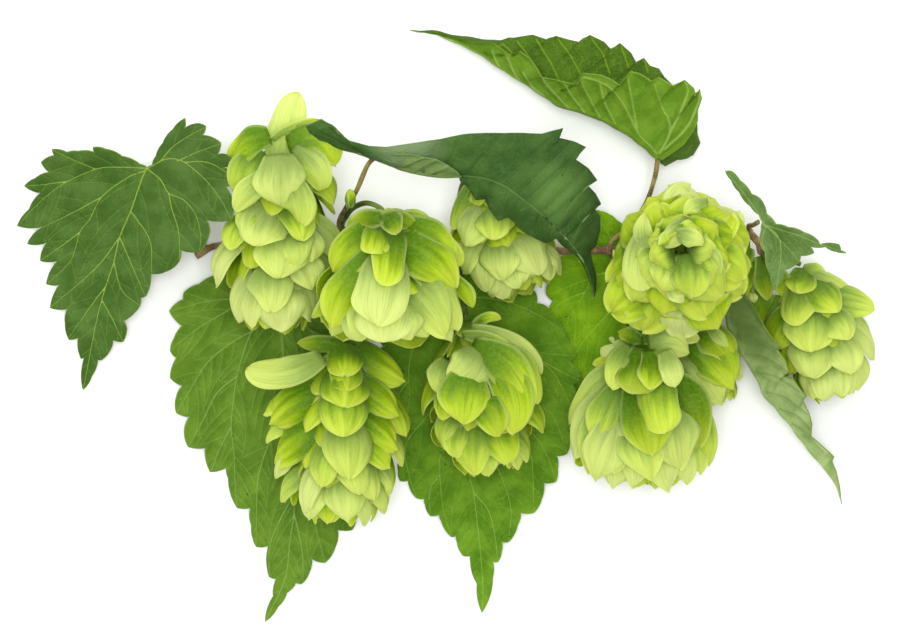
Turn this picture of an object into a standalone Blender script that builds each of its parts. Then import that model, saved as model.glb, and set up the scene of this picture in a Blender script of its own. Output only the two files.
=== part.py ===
"""A cut sprig of hop bine with its leaves and cones, lying on a table as it is seen from straight above.

Metres, +Z up. +X is the sprig's long direction and the table is the plane z = 0.

The sprig was read off one photograph. A place on it is a pixel of that photograph and a height above the
table in millimetres: seen() turns the two into a point in space.
"""

import math

import bmesh
import bpy
import numpy as np
from mathutils import Vector, geometry

MM = 0.001

# Driving sizes
SPRIG_LENGTH = 214 * MM
SPRIG_LENGTH_PIXELS = 856
PIXEL = SPRIG_LENGTH / SPRIG_LENGTH_PIXELS
VIEW_MIDDLE = (450, 321.5)
VIEW_HEIGHT = 1250 * MM
VIEW_FOOT = (1.2 * MM, 1.1 * MM)

LEAF_THICKNESS = 0.5 * MM
BRACT_THICKNESS = 0.7 * MM
BINE_RADIUS = 0.85 * MM
NODE_RADIUS = 1.35 * MM
LEAF_STALK_RADIUS = 0.6 * MM
CONE_STALK_RADIUS = 0.65 * MM
CONE_SEGMENTS = 16
BRACTS_A_TIER = 4
LEAF_GRID_PIXELS = 30
STALK_STEPS = 2

# A tier of bracts: how far its lip draws in and back between two bracts, and the groove where it tucks under
SCALLOP_DEPTH = 0.18
SCALLOP_REACH = 0.62
TUCK = 0.74
LAST_TUCK = 0.5
TUCK_REACH = 0.66
BRACT_CUP = 0.18

# Radius of each tier of bracts, as a share of the cone's own, from the stalk to the tip
OVOID = (0.50, 0.80, 0.97, 1.0, 0.93, 0.80, 0.56)
BELL = (0.38, 0.60, 0.78, 0.92, 1.0, 0.95, 0.66)
ROSETTE = (0.62, 0.88, 1.0, 0.98, 0.82, 0.60, 0.34)

GREENS = {
    "dark_leaf": (0.045, 0.115, 0.045),
    "mid_leaf": (0.085, 0.215, 0.04),
    "bract": (0.45, 0.66, 0.09),
    "bine": (0.19, 0.12, 0.055),
    "stalk": (0.17, 0.2, 0.05),
}


def seen(px, py, height):
    """The point at a height in millimetres that the photograph shows at a pixel."""
    z = height * MM
    nearness = 1 - z / VIEW_HEIGHT
    x = (px - VIEW_MIDDLE[0]) * PIXEL * nearness + VIEW_FOOT[0]
    y = (VIEW_MIDDLE[1] - py) * PIXEL * nearness + VIEW_FOOT[1]
    return Vector((x, y, z))


def clear_scene():
    for obj in list(bpy.data.objects):
        bpy.data.objects.remove(obj, do_unlink=True)


def new_collection(name):
    made = bpy.data.collections.new(name)
    bpy.context.scene.collection.children.link(made)
    return made


def material(name, roughness=0.6):
    made = bpy.data.materials.get(name)
    if made is None:
        made = bpy.data.materials.new(name)
        made.use_nodes = True
        shader = made.node_tree.nodes["Principled BSDF"]
        shader.inputs["Base Color"].default_value = (*GREENS[name], 1)
        shader.inputs["Roughness"].default_value = roughness
    return made


def add_mesh(name, bm, slot, collection):
    """Puts a bmesh in the scene as a named object, and frees it."""
    data = bpy.data.meshes.new(name)
    bm.to_mesh(data)
    bm.free()
    data.materials.append(material(slot))
    obj = bpy.data.objects.new(name, data)
    collection.objects.link(obj)
    return obj


# Leaves that lie open: an outline, and a smooth sheet of heights over it


def height_sheet(pegs):
    """A smooth height, in millimetres, through pegs of (pixel x, pixel y, height): a thin plate bent over them."""
    spots = np.array([peg[:2] for peg in pegs], float)
    heights = np.array([peg[2] for peg in pegs], float)

    def bend(distance):
        return np.where(distance > 0, distance**2 * np.log(np.maximum(distance, 1e-9)), 0.0)

    count = len(pegs)
    between = np.linalg.norm(spots[:, None] - spots[None], axis=2)
    flat = np.column_stack([np.ones(count), spots])
    system = np.zeros((count + 3, count + 3))
    system[:count, :count] = bend(between)
    system[:count, count:] = flat
    system[count:, :count] = flat.T
    weights = np.linalg.solve(system, np.concatenate([heights, np.zeros(3)]))

    def height(px, py):
        distance = np.hypot(spots[:, 0] - px, spots[:, 1] - py)
        return float(bend(distance) @ weights[:count] + weights[count:] @ (1, px, py))

    return height


def grid_inside(outline, spacing, margin):
    """Points of a triangular grid inside an outline, and no nearer than margin to it."""
    lows = np.min(outline, axis=0)
    highs = np.max(outline, axis=0)
    ends = list(zip(outline, outline[1:] + outline[:1]))
    found = []
    rows = int((highs[1] - lows[1]) / (spacing * 0.866)) + 1
    columns = int((highs[0] - lows[0]) / spacing) + 2
    for row in range(rows):
        for column in range(columns):
            x = lows[0] + (column + 0.5 * (row % 2)) * spacing
            y = lows[1] + row * spacing * 0.866
            spot = Vector((x, y))
            crossings = sum(
                (ay > y) != (by > y) and x < ax + (y - ay) * (bx - ax) / (by - ay)
                for (ax, ay), (bx, by) in ends
            )
            if crossings % 2 == 0:
                continue
            near = min(
                (spot - Vector(geometry.intersect_point_line(spot, a, b)[0][:2])).length
                for a, b in ((Vector(a), Vector(b)) for a, b in ends)
                if 0 <= geometry.intersect_point_line(spot, a, b)[1] <= 1
            )
            if near > margin:
                found.append((x, y))
    return found


def open_leaf(name, outline, pegs, midrib, slot, collection):
    """A leaf blade over its outline, with an edge along its midrib. The table stops it where it would go lower."""
    height = height_sheet(pegs)
    rim = len(outline)
    spots = outline + midrib + grid_inside(outline, LEAF_GRID_PIXELS, LEAF_GRID_PIXELS * 0.4)
    ribs = [(rim + i, rim + i + 1) for i in range(len(midrib) - 1)]
    flat, _, faces, *_ = geometry.delaunay_2d_cdt([Vector(s) for s in spots], ribs, [list(range(rim))], 1, 1e-4)
    bm = bmesh.new()
    rest = LEAF_THICKNESS / 2 / MM
    points = [bm.verts.new(seen(p.x, p.y, max(rest, height(p.x, p.y)))) for p in flat]
    for face in faces:
        bm.faces.new([points[i] for i in face])
    bmesh.ops.recalc_face_normals(bm, faces=bm.faces)
    return thicken(add_mesh(name, bm, slot, collection))


def thicken(obj):
    """Gives an open blade its thickness, half on either side."""
    wall = obj.modifiers.new("thickness", "SOLIDIFY")
    wall.thickness = LEAF_THICKNESS
    wall.offset = 0
    return obj


# Leaves that are folded or twisted: rows of a midrib point and the two margin points that its side veins run to


def folded_leaf(name, rows, belly, slot, collection, across=2):
    """A leaf blade ruled from each midrib point to a margin point on either side, arched by belly millimetres."""
    bm = bmesh.new()
    for side in (1, 2):
        strip = []
        for row in rows:
            rib = row[0]
            edge = row[side]
            line = []
            for step in range(across + 1):
                share = step / across
                px, py, height = (rib[i] + (edge[i] - rib[i]) * share for i in range(3))
                line.append(bm.verts.new(seen(px, py, height + belly * 4 * share * (1 - share))))
            strip.append(line)
        for low, high in zip(strip, strip[1:]):
            for step in range(across):
                corners = [low[step], low[step + 1], high[step + 1], high[step]]
                bm.faces.new(corners if side == 1 else corners[::-1])
    bmesh.ops.remove_doubles(bm, verts=bm.verts, dist=0.05 * MM)
    bmesh.ops.dissolve_degenerate(bm, edges=bm.edges, dist=0.02 * MM)
    bmesh.ops.triangulate(bm, faces=bm.faces)
    return thicken(add_mesh(name, bm, slot, collection))


# Cones: tiers of scalloped bracts round an axis, and the single bracts that stand out of them


def scallop(angle, phase):
    """1 at the middle of each bract of a tier and 0 between two of them."""
    return abs(math.cos(BRACTS_A_TIER * (angle - phase) / 2)) ** 0.8


def cone_form(name, base, tip, radius, tiers, turn, collection):
    """One closed form of overlapping bract tiers. base and tip are photograph places, radius is in millimetres."""
    low = seen(*base)
    along = seen(*tip) - low
    facing = along.to_track_quat("Z", "Y")
    pitch = along.length / len(tiers)
    angles = [2 * math.pi * step / CONE_SEGMENTS for step in range(CONE_SEGMENTS)]
    bm = bmesh.new()

    def spot(angle, out, reach):
        return bm.verts.new(low + facing @ Vector((math.cos(angle) * out, math.sin(angle) * out, reach)))

    rings = []
    for tier, share in enumerate(tiers):
        rim = radius * MM * share
        phase = turn + (tier % 2) * math.pi / BRACTS_A_TIER
        hang = pitch * (tier + 1)
        lip = []
        for angle in angles:
            full = scallop(angle, phase)
            out = rim * (1 - SCALLOP_DEPTH * (1 - full))
            lip.append(spot(angle, out, hang - SCALLOP_REACH * pitch * (1 - full)))
        last_tier = tier == len(tiers) - 1
        tuck = rim * (LAST_TUCK if last_tier else TUCK)
        rings.append(lip)
        rings.append([spot(angle, tuck, hang - TUCK_REACH * pitch) for angle in angles])
    first = bm.verts.new(low)
    last = bm.verts.new(low + along * 0.93)
    for near, far in zip(rings, rings[1:]):
        for step in range(CONE_SEGMENTS):
            after = (step + 1) % CONE_SEGMENTS
            bm.faces.new([near[step], near[after], far[after], far[step]])
    for step in range(CONE_SEGMENTS):
        after = (step + 1) % CONE_SEGMENTS
        bm.faces.new([first, rings[0][after], rings[0][step]])
        bm.faces.new([last, rings[-1][step], rings[-1][after]])
    bmesh.ops.triangulate(bm, faces=bm.faces)
    return add_mesh(name, bm, "bract", collection)


def stand_out(cone, root, tip, width, lift, cutters, breadths=(0.6, 1.0, 0.45)):
    """Joins one bract to a cone: a cupped tongue from root to tip, width and lift (its rise at the middle) in mm."""
    start = seen(*root)
    end = seen(*tip)
    along = end - start
    across = along.cross(Vector((0, 0, 1))).normalized()
    up = across.cross(along).normalized()
    bm = bmesh.new()
    lines = []
    for step, breadth in enumerate(breadths):
        share = step / (len(breadths) - 1)
        middle = start + along * share + up * lift * MM * 4 * share * (1 - share)
        half = across * breadth * width * MM / 2
        dip = up * breadth * width * MM * BRACT_CUP
        lines.append([bm.verts.new(middle - half), bm.verts.new(middle + dip), bm.verts.new(middle + half)])
    for near, far in zip(lines, lines[1:]):
        for side in range(2):
            bm.faces.new([near[side], near[side + 1], far[side + 1], far[side]])
    bmesh.ops.recalc_face_normals(bm, faces=bm.faces)
    tongue = add_mesh(cone.name + "_bract", bm, "bract", cutters)
    wall = tongue.modifiers.new("thickness", "SOLIDIFY")
    wall.thickness = BRACT_THICKNESS
    wall.offset = 0
    tongue.hide_render = True
    tongue.display_type = "WIRE"
    union = cone.modifiers.new("bract", "BOOLEAN")
    union.operation = "UNION"
    # The exact solver loses these cones where several thin tongues leave one groove
    union.solver = "MANIFOLD"
    union.object = tongue


# Bine and stalks: round tubes on smooth routes


def smooth_route(places, steps):
    """Points on a smooth curve through photograph places, with steps of them to each stretch."""
    knots = [seen(*place) for place in places]
    knots = [2 * knots[0] - knots[1]] + knots + [2 * knots[-1] - knots[-2]]
    route = []
    for a, b, c, d in zip(knots, knots[1:], knots[2:], knots[3:]):
        for step in range(steps):
            t = step / steps
            bend = (2 * a - 5 * b + 4 * c - d) * t**2 + (3 * b - a - 3 * c + d) * t**3
            route.append(0.5 * (2 * b + (c - a) * t + bend))
    route.append(knots[-2])
    return route


def tube(name, places, radius, slot, collection, swell=None):
    """A round stem on a smooth route. swell is its radius where it meets its node, at the route's end."""
    route = smooth_route(places, STALK_STEPS)
    data = bpy.data.curves.new(name, "CURVE")
    data.dimensions = "3D"
    data.bevel_depth = radius
    data.bevel_resolution = 1
    data.use_fill_caps = True
    spline = data.splines.new("POLY")
    spline.points.add(len(route) - 1)
    for index, (point, spot) in enumerate(zip(spline.points, route)):
        point.co = (*spot, 1)
        left = len(route) - 1 - index
        point.radius = (swell / radius) if swell and left <= 1 else 1.0
    data.materials.append(material(slot))
    obj = bpy.data.objects.new(name, data)
    collection.objects.link(obj)
    return obj


# The left leaf, upper face to the camera, its right side propped on the tall cone

LEFT_LEAF_OUTLINE = [
    (147, 167), (140, 164), (122, 156), (106, 149), (93, 147), (94, 152), (78, 151), (67, 152), (52, 149),
    (54, 155), (41, 162), (49, 172), (35, 178), (24, 186), (40, 193), (29, 209), (17, 226), (42, 227),
    (27, 244), (46, 243), (40, 261), (57, 261), (46, 284), (59, 285), (50, 308), (67, 309), (65, 323),
    (69, 340), (78, 338), (81, 359), (84, 358), (83, 390), (92, 376), (98, 360), (102, 360), (112, 347),
    (113, 340), (123, 342), (127, 328), (124, 321), (140, 306), (141, 298), (146, 296), (151, 274),
    (168, 271), (179, 262), (181, 250), (200, 252), (210, 232), (207, 220), (232, 220), (233, 202),
    (226, 187), (242, 181), (235, 171), (223, 168), (235, 162), (226, 154), (218, 154), (221, 143),
    (214, 138), (203, 135), (206, 126), (198, 123), (185, 128), (185, 118), (173, 129), (163, 143),
    (156, 156), (152, 165),
]
LEFT_LEAF_MIDRIB = [(147, 168), (141, 182), (131, 211), (114, 262), (98, 315), (86, 365)]
LEFT_LEAF_PEGS = [
    (147, 167, 15), (242, 181, 34), (221, 143, 33), (206, 126, 29), (232, 220, 33), (185, 118, 23),
    (200, 252, 24), (169, 193, 19), (17, 226, 4), (24, 186, 7), (41, 162, 9), (52, 149, 11), (93, 147, 14),
    (83, 390, 0.6), (50, 308, 3), (27, 244, 4.5), (146, 296, 10), (120, 237, 9), (100, 300, 4),
    (70, 260, 4.2), (102, 360, 3), (96, 169, 9), (114, 200, 9),
]

# The low left leaf, its veined underside to the camera, flat on the table under two cones

LOW_LEFT_LEAF_OUTLINE = [
    (240, 266), (217, 275), (199, 284), (184, 292), (183, 299), (169, 311), (182, 326), (174, 338),
    (170, 351), (176, 358), (170, 378), (182, 386), (176, 397), (176, 413), (189, 417), (184, 430),
    (188, 447), (205, 448), (210, 472), (226, 468), (228, 478), (237, 508), (250, 508), (251, 525),
    (256, 547), (268, 546), (269, 577), (276, 579), (273, 596), (265, 622), (278, 607), (287, 593),
    (296, 583), (302, 584), (310, 571), (312, 559), (325, 563), (336, 546), (338, 530), (352, 530),
    (356, 522), (354, 505), (364, 497), (360, 480), (374, 462), (364, 440), (374, 420), (360, 400),
    (366, 378), (352, 360), (352, 337), (340, 320), (335, 296), (324, 285), (310, 277), (292, 283),
    (283, 297), (276, 284), (262, 270),
]
LOW_LEFT_LEAF_MIDRIB = [
    (283, 300), (282, 329), (283, 348), (288, 420), (293, 496), (290, 541), (285, 579), (268, 614),
]
LOW_LEFT_LEAF_PEGS = [
    (240, 266, 2.2), (169, 311, 5.5), (170, 351, 3.2), (170, 378, 4.6), (176, 413, 2.6), (188, 447, 4.2),
    (210, 472, 1.6), (237, 508, 2.6), (256, 547, 1.2), (269, 577, 2.0), (265, 622, 1.4), (302, 584, 3.2),
    (325, 563, 2.6), (352, 530, 0.7), (293, 496, 0.4), (282, 348, 0.5), (288, 420, 0.4), (232, 390, 1.3),
    (238, 450, 0.6), (360, 480, 0.4), (366, 378, 0.4), (340, 320, 0.4), (310, 277, 0.5), (283, 297, 0.6),
    (215, 340, 1.4), (290, 541, 0.6),
]

# The low middle leaf, upper face to the camera, flat on the table under three cones

LOW_MIDDLE_LEAF_OUTLINE = [
    (511, 284), (525, 284), (536, 293), (537, 303), (549, 308), (548, 312), (563, 329), (570, 343),
    (576, 355), (570, 362), (578, 369), (581, 380), (573, 385), (580, 401), (579, 424), (569, 428),
    (570, 441), (567, 454), (557, 456), (558, 469), (556, 482), (544, 483), (542, 499), (534, 513),
    (521, 513), (518, 525), (509, 542), (502, 542), (502, 551), (498, 562), (493, 562), (493, 577),
    (482, 613), (477, 584), (470, 556), (463, 556), (457, 543), (456, 536), (451, 537), (441, 521),
    (439, 515), (430, 516), (425, 505), (424, 499), (416, 498), (409, 486), (408, 481), (400, 481),
    (398, 471), (401, 451), (400, 436), (385, 425), (388, 410), (376, 396), (384, 380), (373, 360),
    (383, 346), (376, 328), (386, 312), (392, 288), (408, 284), (424, 266), (440, 274), (452, 292),
    (464, 274), (480, 266), (495, 276),
]
LOW_MIDDLE_LEAF_MIDRIB = [(452, 295), (458, 340), (463, 400), (469, 471), (477, 521), (480, 549), (482, 600)]
LOW_MIDDLE_LEAF_PEGS = [
    (511, 284, 2.2), (536, 293, 3.4), (563, 329, 4.0), (576, 355, 3.2), (581, 380, 4.2), (579, 424, 3.6),
    (567, 454, 2.6), (556, 482, 4.2), (534, 513, 2.8), (509, 542, 3.8), (498, 562, 2.2), (482, 613, 0.6),
    (463, 556, 1.6), (441, 521, 3.0), (430, 516, 2.4), (400, 481, 0.9), (398, 471, 0.8), (400, 436, 0.5),
    (376, 396, 0.5), (376, 328, 0.5), (392, 288, 0.6), (424, 266, 0.6), (452, 292, 0.7), (480, 266, 0.7),
    (458, 340, 0.6), (463, 400, 0.5), (469, 471, 0.4), (480, 549, 0.5), (520, 400, 1.2), (530, 340, 2.4),
    (515, 460, 1.0), (435, 470, 0.8), (545, 420, 2.6),
]

# The leaf behind, mostly hidden by the cones over it, under the low middle leaf's right side

BEHIND_LEAF_OUTLINE = [
    (595, 210), (601, 211), (609, 214), (617, 220), (627, 230), (640, 240), (634, 256), (652, 244),
    (668, 240), (680, 254), (694, 262), (692, 284), (702, 296), (694, 312), (699, 330), (686, 342),
    (690, 362), (676, 372), (678, 394), (664, 404), (664, 428), (650, 436), (648, 462), (636, 440),
    (622, 446), (618, 428), (602, 432), (600, 414), (584, 416), (584, 398), (570, 400), (572, 382),
    (560, 380), (564, 362), (552, 354), (558, 336), (544, 317), (549, 308), (553, 301), (546, 294),
    (548, 283), (556, 262), (568, 252), (572, 236), (584, 230),
]
BEHIND_LEAF_MIDRIB = [(628, 264), (630, 310), (636, 370), (644, 420), (647, 452)]
BEHIND_LEAF_PEGS = [
    (595, 210, 7), (627, 230, 4.5), (572, 236, 5), (548, 283, 3.2), (544, 317, 0.6), (560, 380, 0.5),
    (584, 416, 0.5), (602, 432, 0.5), (648, 462, 0.5), (664, 404, 0.5), (699, 330, 0.5), (694, 262, 0.6),
    (668, 240, 1.0), (628, 264, 2.2), (630, 310, 0.6), (636, 370, 0.5), (590, 290, 2.6), (585, 350, 0.6),
    (600, 330, 1.2), (660, 330, 0.5),
]

# The small three-lobed leaf at the sprig's tip

SMALL_LEAF_OUTLINE = [
    (762, 222), (759, 215), (750, 206), (739, 192), (731, 180), (725, 171), (732, 171), (740, 180),
    (752, 194), (761, 199), (767, 214), (776, 224), (788, 227), (804, 232), (817, 239), (820, 244),
    (839, 244), (841, 250), (847, 253), (836, 252), (825, 247), (811, 247), (814, 253), (801, 256),
    (799, 262), (785, 270), (779, 284), (776, 291), (770, 275), (765, 252), (760, 243), (761, 230),
]
SMALL_LEAF_MIDRIB = [(765, 226), (778, 236), (781, 256), (777, 282)]
SMALL_LEAF_PEGS = [
    (762, 222, 29), (725, 171, 36), (752, 194, 35), (788, 227, 35), (820, 244, 32), (847, 253, 28),
    (778, 236, 31), (799, 262, 34), (776, 291, 30), (760, 243, 33),
]

# The twisted leaf over the middle: midrib, upper margin, lower margin. Near its stalk the lower half curls up

TWISTED_LEAF_ROWS = [
    ((370, 158, 38), (352, 148, 37), (375, 156, 39)),
    ((370, 158, 38), (336, 145, 37), (379, 154, 40)),
    ((370, 158, 38), (321, 139, 37), (384, 153, 40)),
    ((370, 158, 38), (310, 133, 38), (388, 153, 41)),
    ((370, 158, 38), (306, 126, 40), (392, 153, 41)),
    ((370, 158, 38), (321, 119, 43), (396, 153, 42)),
    ((370, 158, 38), (333, 128, 42), (400, 153, 42)),
    ((378, 161, 38), (350, 141, 42), (406, 154, 43)),
    ((386, 164, 38), (369, 146, 42), (414, 155, 43)),
    ((396, 168, 38), (386, 147, 42), (424, 157, 43)),
    ((410, 172, 38), (414, 143, 42), (436, 159, 43)),
    ((426, 176, 38), (440, 139, 42), (448, 165, 42)),
    ((442, 177, 38), (464, 134, 42), (458, 172, 40)),
    ((456, 176, 38), (486, 133, 42), (464, 182, 37)),
    ((466, 176, 38), (505, 133, 42), (470, 190, 36)),
    ((478, 177, 39), (524, 133, 41), (476, 200, 35)),
    ((490, 180, 39), (542, 134, 40), (485, 199, 36)),
    ((500, 184, 40), (563, 128, 39), (489, 208, 36)),
    ((510, 190, 40), (559, 138, 38), (498, 221, 35)),
    ((518, 196, 40), (573, 141, 37), (508, 217, 36)),
    ((526, 202, 40), (586, 147, 35), (514, 222, 35)),
    ((534, 208, 40), (573, 158, 36), (522, 231, 34)),
    ((541, 214, 39), (588, 168, 33), (531, 236, 33)),
    ((548, 221, 38), (597, 180, 30), (539, 240, 32)),
    ((554, 227, 37), (584, 182, 32), (546, 243, 31)),
    ((560, 233, 36), (595, 193, 28), (552, 240, 31)),
    ((566, 239, 35), (601, 204, 25), (556, 238, 31)),
    ((570, 243, 34), (588, 202, 28), (561, 244, 30)),
    ((574, 248, 33), (600, 216, 23), (566, 248, 29)),
    ((578, 253, 31), (600, 230, 21), (572, 252, 28)),
    ((582, 259, 29), (597, 241, 20), (578, 257, 26)),
    ((585, 265, 26), (589, 246, 22), (582, 263, 24)),
    ((588, 272, 23), (592, 261, 19), (586, 270, 21)),
    ((591, 280, 20), (596, 275, 16), (589, 279, 18)),
    ((593, 289, 16), (596, 289, 14), (592, 288, 15)),
    ((593.5, 300, 12), (593.5, 300, 12), (593.5, 300, 12)),
]

# The top leaf, folded along its midrib: midrib, near half with its underside up, far half lying on the table

TOP_LEAF_ROWS = [
    ((657, 158, 15), (662, 160, 16), (661, 160, 12)),
    ((657, 158, 15), (672, 153, 16.6), (665, 166, 9)),
    ((657, 158, 15), (684, 144, 17.2), (682, 157, 6.4)),
    ((657, 158, 15), (694, 130, 17.8), (693, 155, 4.4)),
    ((657, 158, 15), (698, 120, 18.4), (700, 143, 3.2)),
    ((657, 158, 15), (698, 110, 19), (697, 134, 2.6)),
    ((654, 156, 15), (702, 98, 19.4), (697, 126, 2.3)),
    ((650, 153, 14.7), (700, 89, 19.7), (696, 118, 2.1)),
    ((645, 148, 14.4), (696, 96, 20), (690, 108, 2)),
    ((640, 144, 14), (694, 88, 20), (684, 99, 2)),
    ((633, 138, 13.5), (685, 80, 20), (676, 90, 2)),
    ((626, 134, 13.1), (674, 86, 20), (670, 83, 2)),
    ((618, 129, 12.7), (659, 77, 19.8), (664, 77, 2)),
    ((609, 124, 12.2), (652, 81, 19.6), (659, 69, 2)),
    ((600, 120, 11.8), (641, 74, 19.3), (650, 66, 2)),
    ((592, 116, 11.4), (631, 71, 19), (644, 58, 2)),
    ((584, 113, 11), (620, 85, 18.5), (636, 63, 2)),
    ((574, 110, 10.6), (611, 79, 18), (631, 53, 2)),
    ((564, 107, 10.2), (602, 75, 17.3), (620, 43, 2)),
    ((555, 104, 9.7), (583, 73, 16.6), (612, 51, 2)),
    ((546, 98, 9.2), (578, 85, 15.8), (604, 42, 2)),
    ((537, 92, 8.8), (569, 83, 15), (590, 35, 2)),
    ((528, 86, 8.3), (556, 80, 14), (582, 43, 2)),
    ((519, 80, 7.9), (542, 77, 13), (569, 40, 2)),
    ((509, 74, 7.4), (539, 71, 12), (556, 36, 2)),
    ((499, 67, 7), (531, 59, 11), (550, 41, 2)),
    ((489, 60, 6.5), (520, 51, 10), (533, 35, 1.9)),
    ((479, 53, 6), (513, 57, 9), (514, 38, 1.8)),
    ((468, 47, 5.4), (494, 43.5, 8), (502, 41, 1.7)),
    ((457, 42, 4.8), (480, 44, 7), (488, 41.5, 1.6)),
    ((446, 37, 4.1), (461, 41, 5.5), (468, 39.5, 1.6)),
    ((431, 32.5, 3.2), (442, 35.5, 4), (446, 35, 1.6)),
    ((410, 30, 2), (410, 30, 2), (410, 30, 2)),
]

# The narrow leaf, folded along its midrib over the far cone's side: midrib, near half, far half tucked under

NARROW_LEAF_ROWS = [
    ((724, 300, 17), (744, 294, 19), (738, 300, 8)),
    ((724, 308, 17), (751, 302, 21), (742, 310, 7)),
    ((727, 318, 17), (756, 311, 23), (746, 322, 6)),
    ((729, 328, 17), (760, 318, 25), (752, 332, 5)),
    ((735, 341, 17), (765, 327, 27), (757, 343, 5)),
    ((741, 351, 17), (773, 339, 29), (762, 354, 4)),
    ((747, 361, 17), (780, 346, 30), (767, 364, 4)),
    ((753, 370, 16), (778, 350, 29), (770, 373, 4)),
    ((758, 380, 16), (786, 362, 30), (775, 382, 3)),
    ((762, 391, 15), (789, 372, 29), (780, 391, 3)),
    ((769, 401, 14), (784, 376, 27), (784, 400, 3)),
    ((776, 408, 13), (794, 380, 27), (790, 409, 2.5)),
    ((783, 416, 12), (806, 397, 23), (796, 417, 2.4)),
    ((790, 424, 11), (803, 401, 20), (801, 425, 2.2)),
    ((797, 433, 10), (809, 413, 18), (806, 434, 2.0)),
    ((803, 441, 9), (812, 424, 16), (811, 442, 1.8)),
    ((809, 449, 8), (811, 436, 13), (816, 450, 1.6)),
    ((816, 457, 7), (829, 452, 11), (821, 459, 1.4)),
    ((823, 466, 6), (834, 457, 10), (827, 468, 1.3)),
    ((828, 472, 5), (832, 462, 8), (831, 474, 1.2)),
    ((832, 478, 4.4), (836, 471, 6.5), (834, 480, 1.2)),
    ((838, 490, 3), (839, 484, 4), (839, 491, 1.2)),
    ((842, 504, 1.6), (842, 504, 1.6), (842, 504, 1.6)),
]

# Each cone: base and tip of its axis, radius in millimetres, tiers, turn of its bracts

CONES = {
    "cone_tall": ((288, 136, 23.5), (272, 328, 21.5), 14.6, OVOID, 0.2),
    "cone_broad": ((388, 222, 27), (383, 322, 44), 18.2, BELL, 0.5),
    "cone_under_leaf": ((474, 184, 16.5), (527, 290, 18), 13.2, OVOID, 0.1),
    "cone_low_left": ((343, 342, 20.5), (336, 519, 19), 15.8, OVOID, 0.3),
    "cone_low_middle": ((466, 322, 18.5), (490, 470, 18), 14.0, OVOID, 0.0),
    "cone_facing": ((682, 266, 10), (677, 250, 47), 17.4, ROSETTE, 0.4),
    "cone_bell": ((640, 346, 22), (638, 482, 19), 16.4, BELL, 0.25),
    "cone_behind": ((694, 326, 9.2), (722, 400, 9.2), 8.0, OVOID, 0.1),
    "cone_far": ((804, 268, 15.5), (834, 396, 14.5), 12.2, OVOID, 0.6),
}

# Bracts that stand out of the cones: cone, root, tip, width and rise in millimetres

STANDING_BRACTS = [
    ("cone_tall", (283, 160, 26), (299, 92, 28), 9.0, 2.0),
    ("cone_tall", (285, 150, 28), (321, 119, 32), 5.0, 1.5),
    ("cone_tall", (290, 160, 28), (337, 166, 28), 9.0, 2.5),
    ("cone_tall", (262, 262, 26), (214, 272, 27), 6.0, 1.0),
    ("cone_broad", (420, 250, 34), (473, 305, 33), 6.5, 3.0),
    ("cone_broad", (410, 280, 38), (455, 340, 33), 9.0, 2.0),
    ("cone_broad", (350, 280, 38), (326, 334, 34), 8.0, 2.0),
    ("cone_low_left", (330, 368, 25), (248, 366, 25), 7.6, 1.5),
    ("cone_low_left", (350, 366, 27), (406, 378, 25), 8.0, 2.5),
    ("cone_low_middle", (470, 340, 26), (540, 374, 24), 7.0, 2.0),
    ("cone_low_middle", (470, 350, 22), (420, 364, 22), 7.0, 1.5),
    ("cone_facing", (650, 277, 35), (609, 306, 37), 9.0, 2.0),
    ("cone_facing", (700, 290, 35), (722, 331, 34), 10.0, 1.6),
    ("cone_facing", (684, 296, 35), (687, 334, 34), 8.0, 1.6),
    ("cone_bell", (640, 362, 25), (601, 342, 25), 6.0, 1.5),
    ("cone_behind", (712, 360, 11), (740, 382, 10), 5.0, 1.0),
    ("cone_far", (825, 300, 19), (874, 308, 17), 8.0, 2.0),
    ("cone_far", (835, 340, 19), (874, 361, 16), 8.0, 1.5),
]

# The bine, from its cut end to its tip, in one stretch for each pair of nodes

BINE = {
    "bine_1": [(196, 256, 5), (215, 246, 4), (250, 243, 3.4), (286, 243, 3.4)],
    "bine_2": [(293, 242, 3.4), (316, 236, 3.6), (338, 230, 4.4)],
    "bine_3": [(345, 230, 4.6), (380, 236, 4.2), (415, 240, 3.4), (452, 240, 3.0)],
    "bine_4": [(459, 240, 2.8), (500, 246, 2.6), (545, 250, 6), (575, 251, 9), (607, 250, 9)],
    "bine_5": [(615, 250, 8.4), (650, 244, 4.4), (700, 236, 5), (736, 232, 12), (746, 231, 17)],
    "bine_tip": [(751, 235, 19), (757, 241, 21), (763, 252, 23)],
}

LEAF_STALKS = {
    "leaf_left_stalk": [(216, 238, 6.5), (192, 214, 7), (162, 184, 10), (150, 172, 12.5)],
    "leaf_low_left_stalk": [(288, 254, 2.4), (286, 270, 1.9), (284, 290, 1.8)],
    "leaf_twisted_stalk": [(338, 223, 9), (345, 209, 18), (357, 190, 28), (367, 165, 36)],
    "leaf_low_middle_stalk": [(455, 250, 2.2), (453, 266, 1.9), (452, 285, 1.9)],
    "leaf_behind_stalk": [(612, 256, 7), (617, 259, 5), (623, 261, 3.8)],
    "leaf_top_stalk": [(612, 241, 10), (632, 225, 9), (646, 203, 9), (654, 180, 12), (657, 165, 13)],
    "leaf_small_stalk": [(749, 226, 21), (753, 225, 25), (758, 222, 27.5)],
    "leaf_narrow_stalk": [(748, 243, 17), (747, 262, 15), (738, 282, 14.5), (727, 297, 15)],
}

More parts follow.
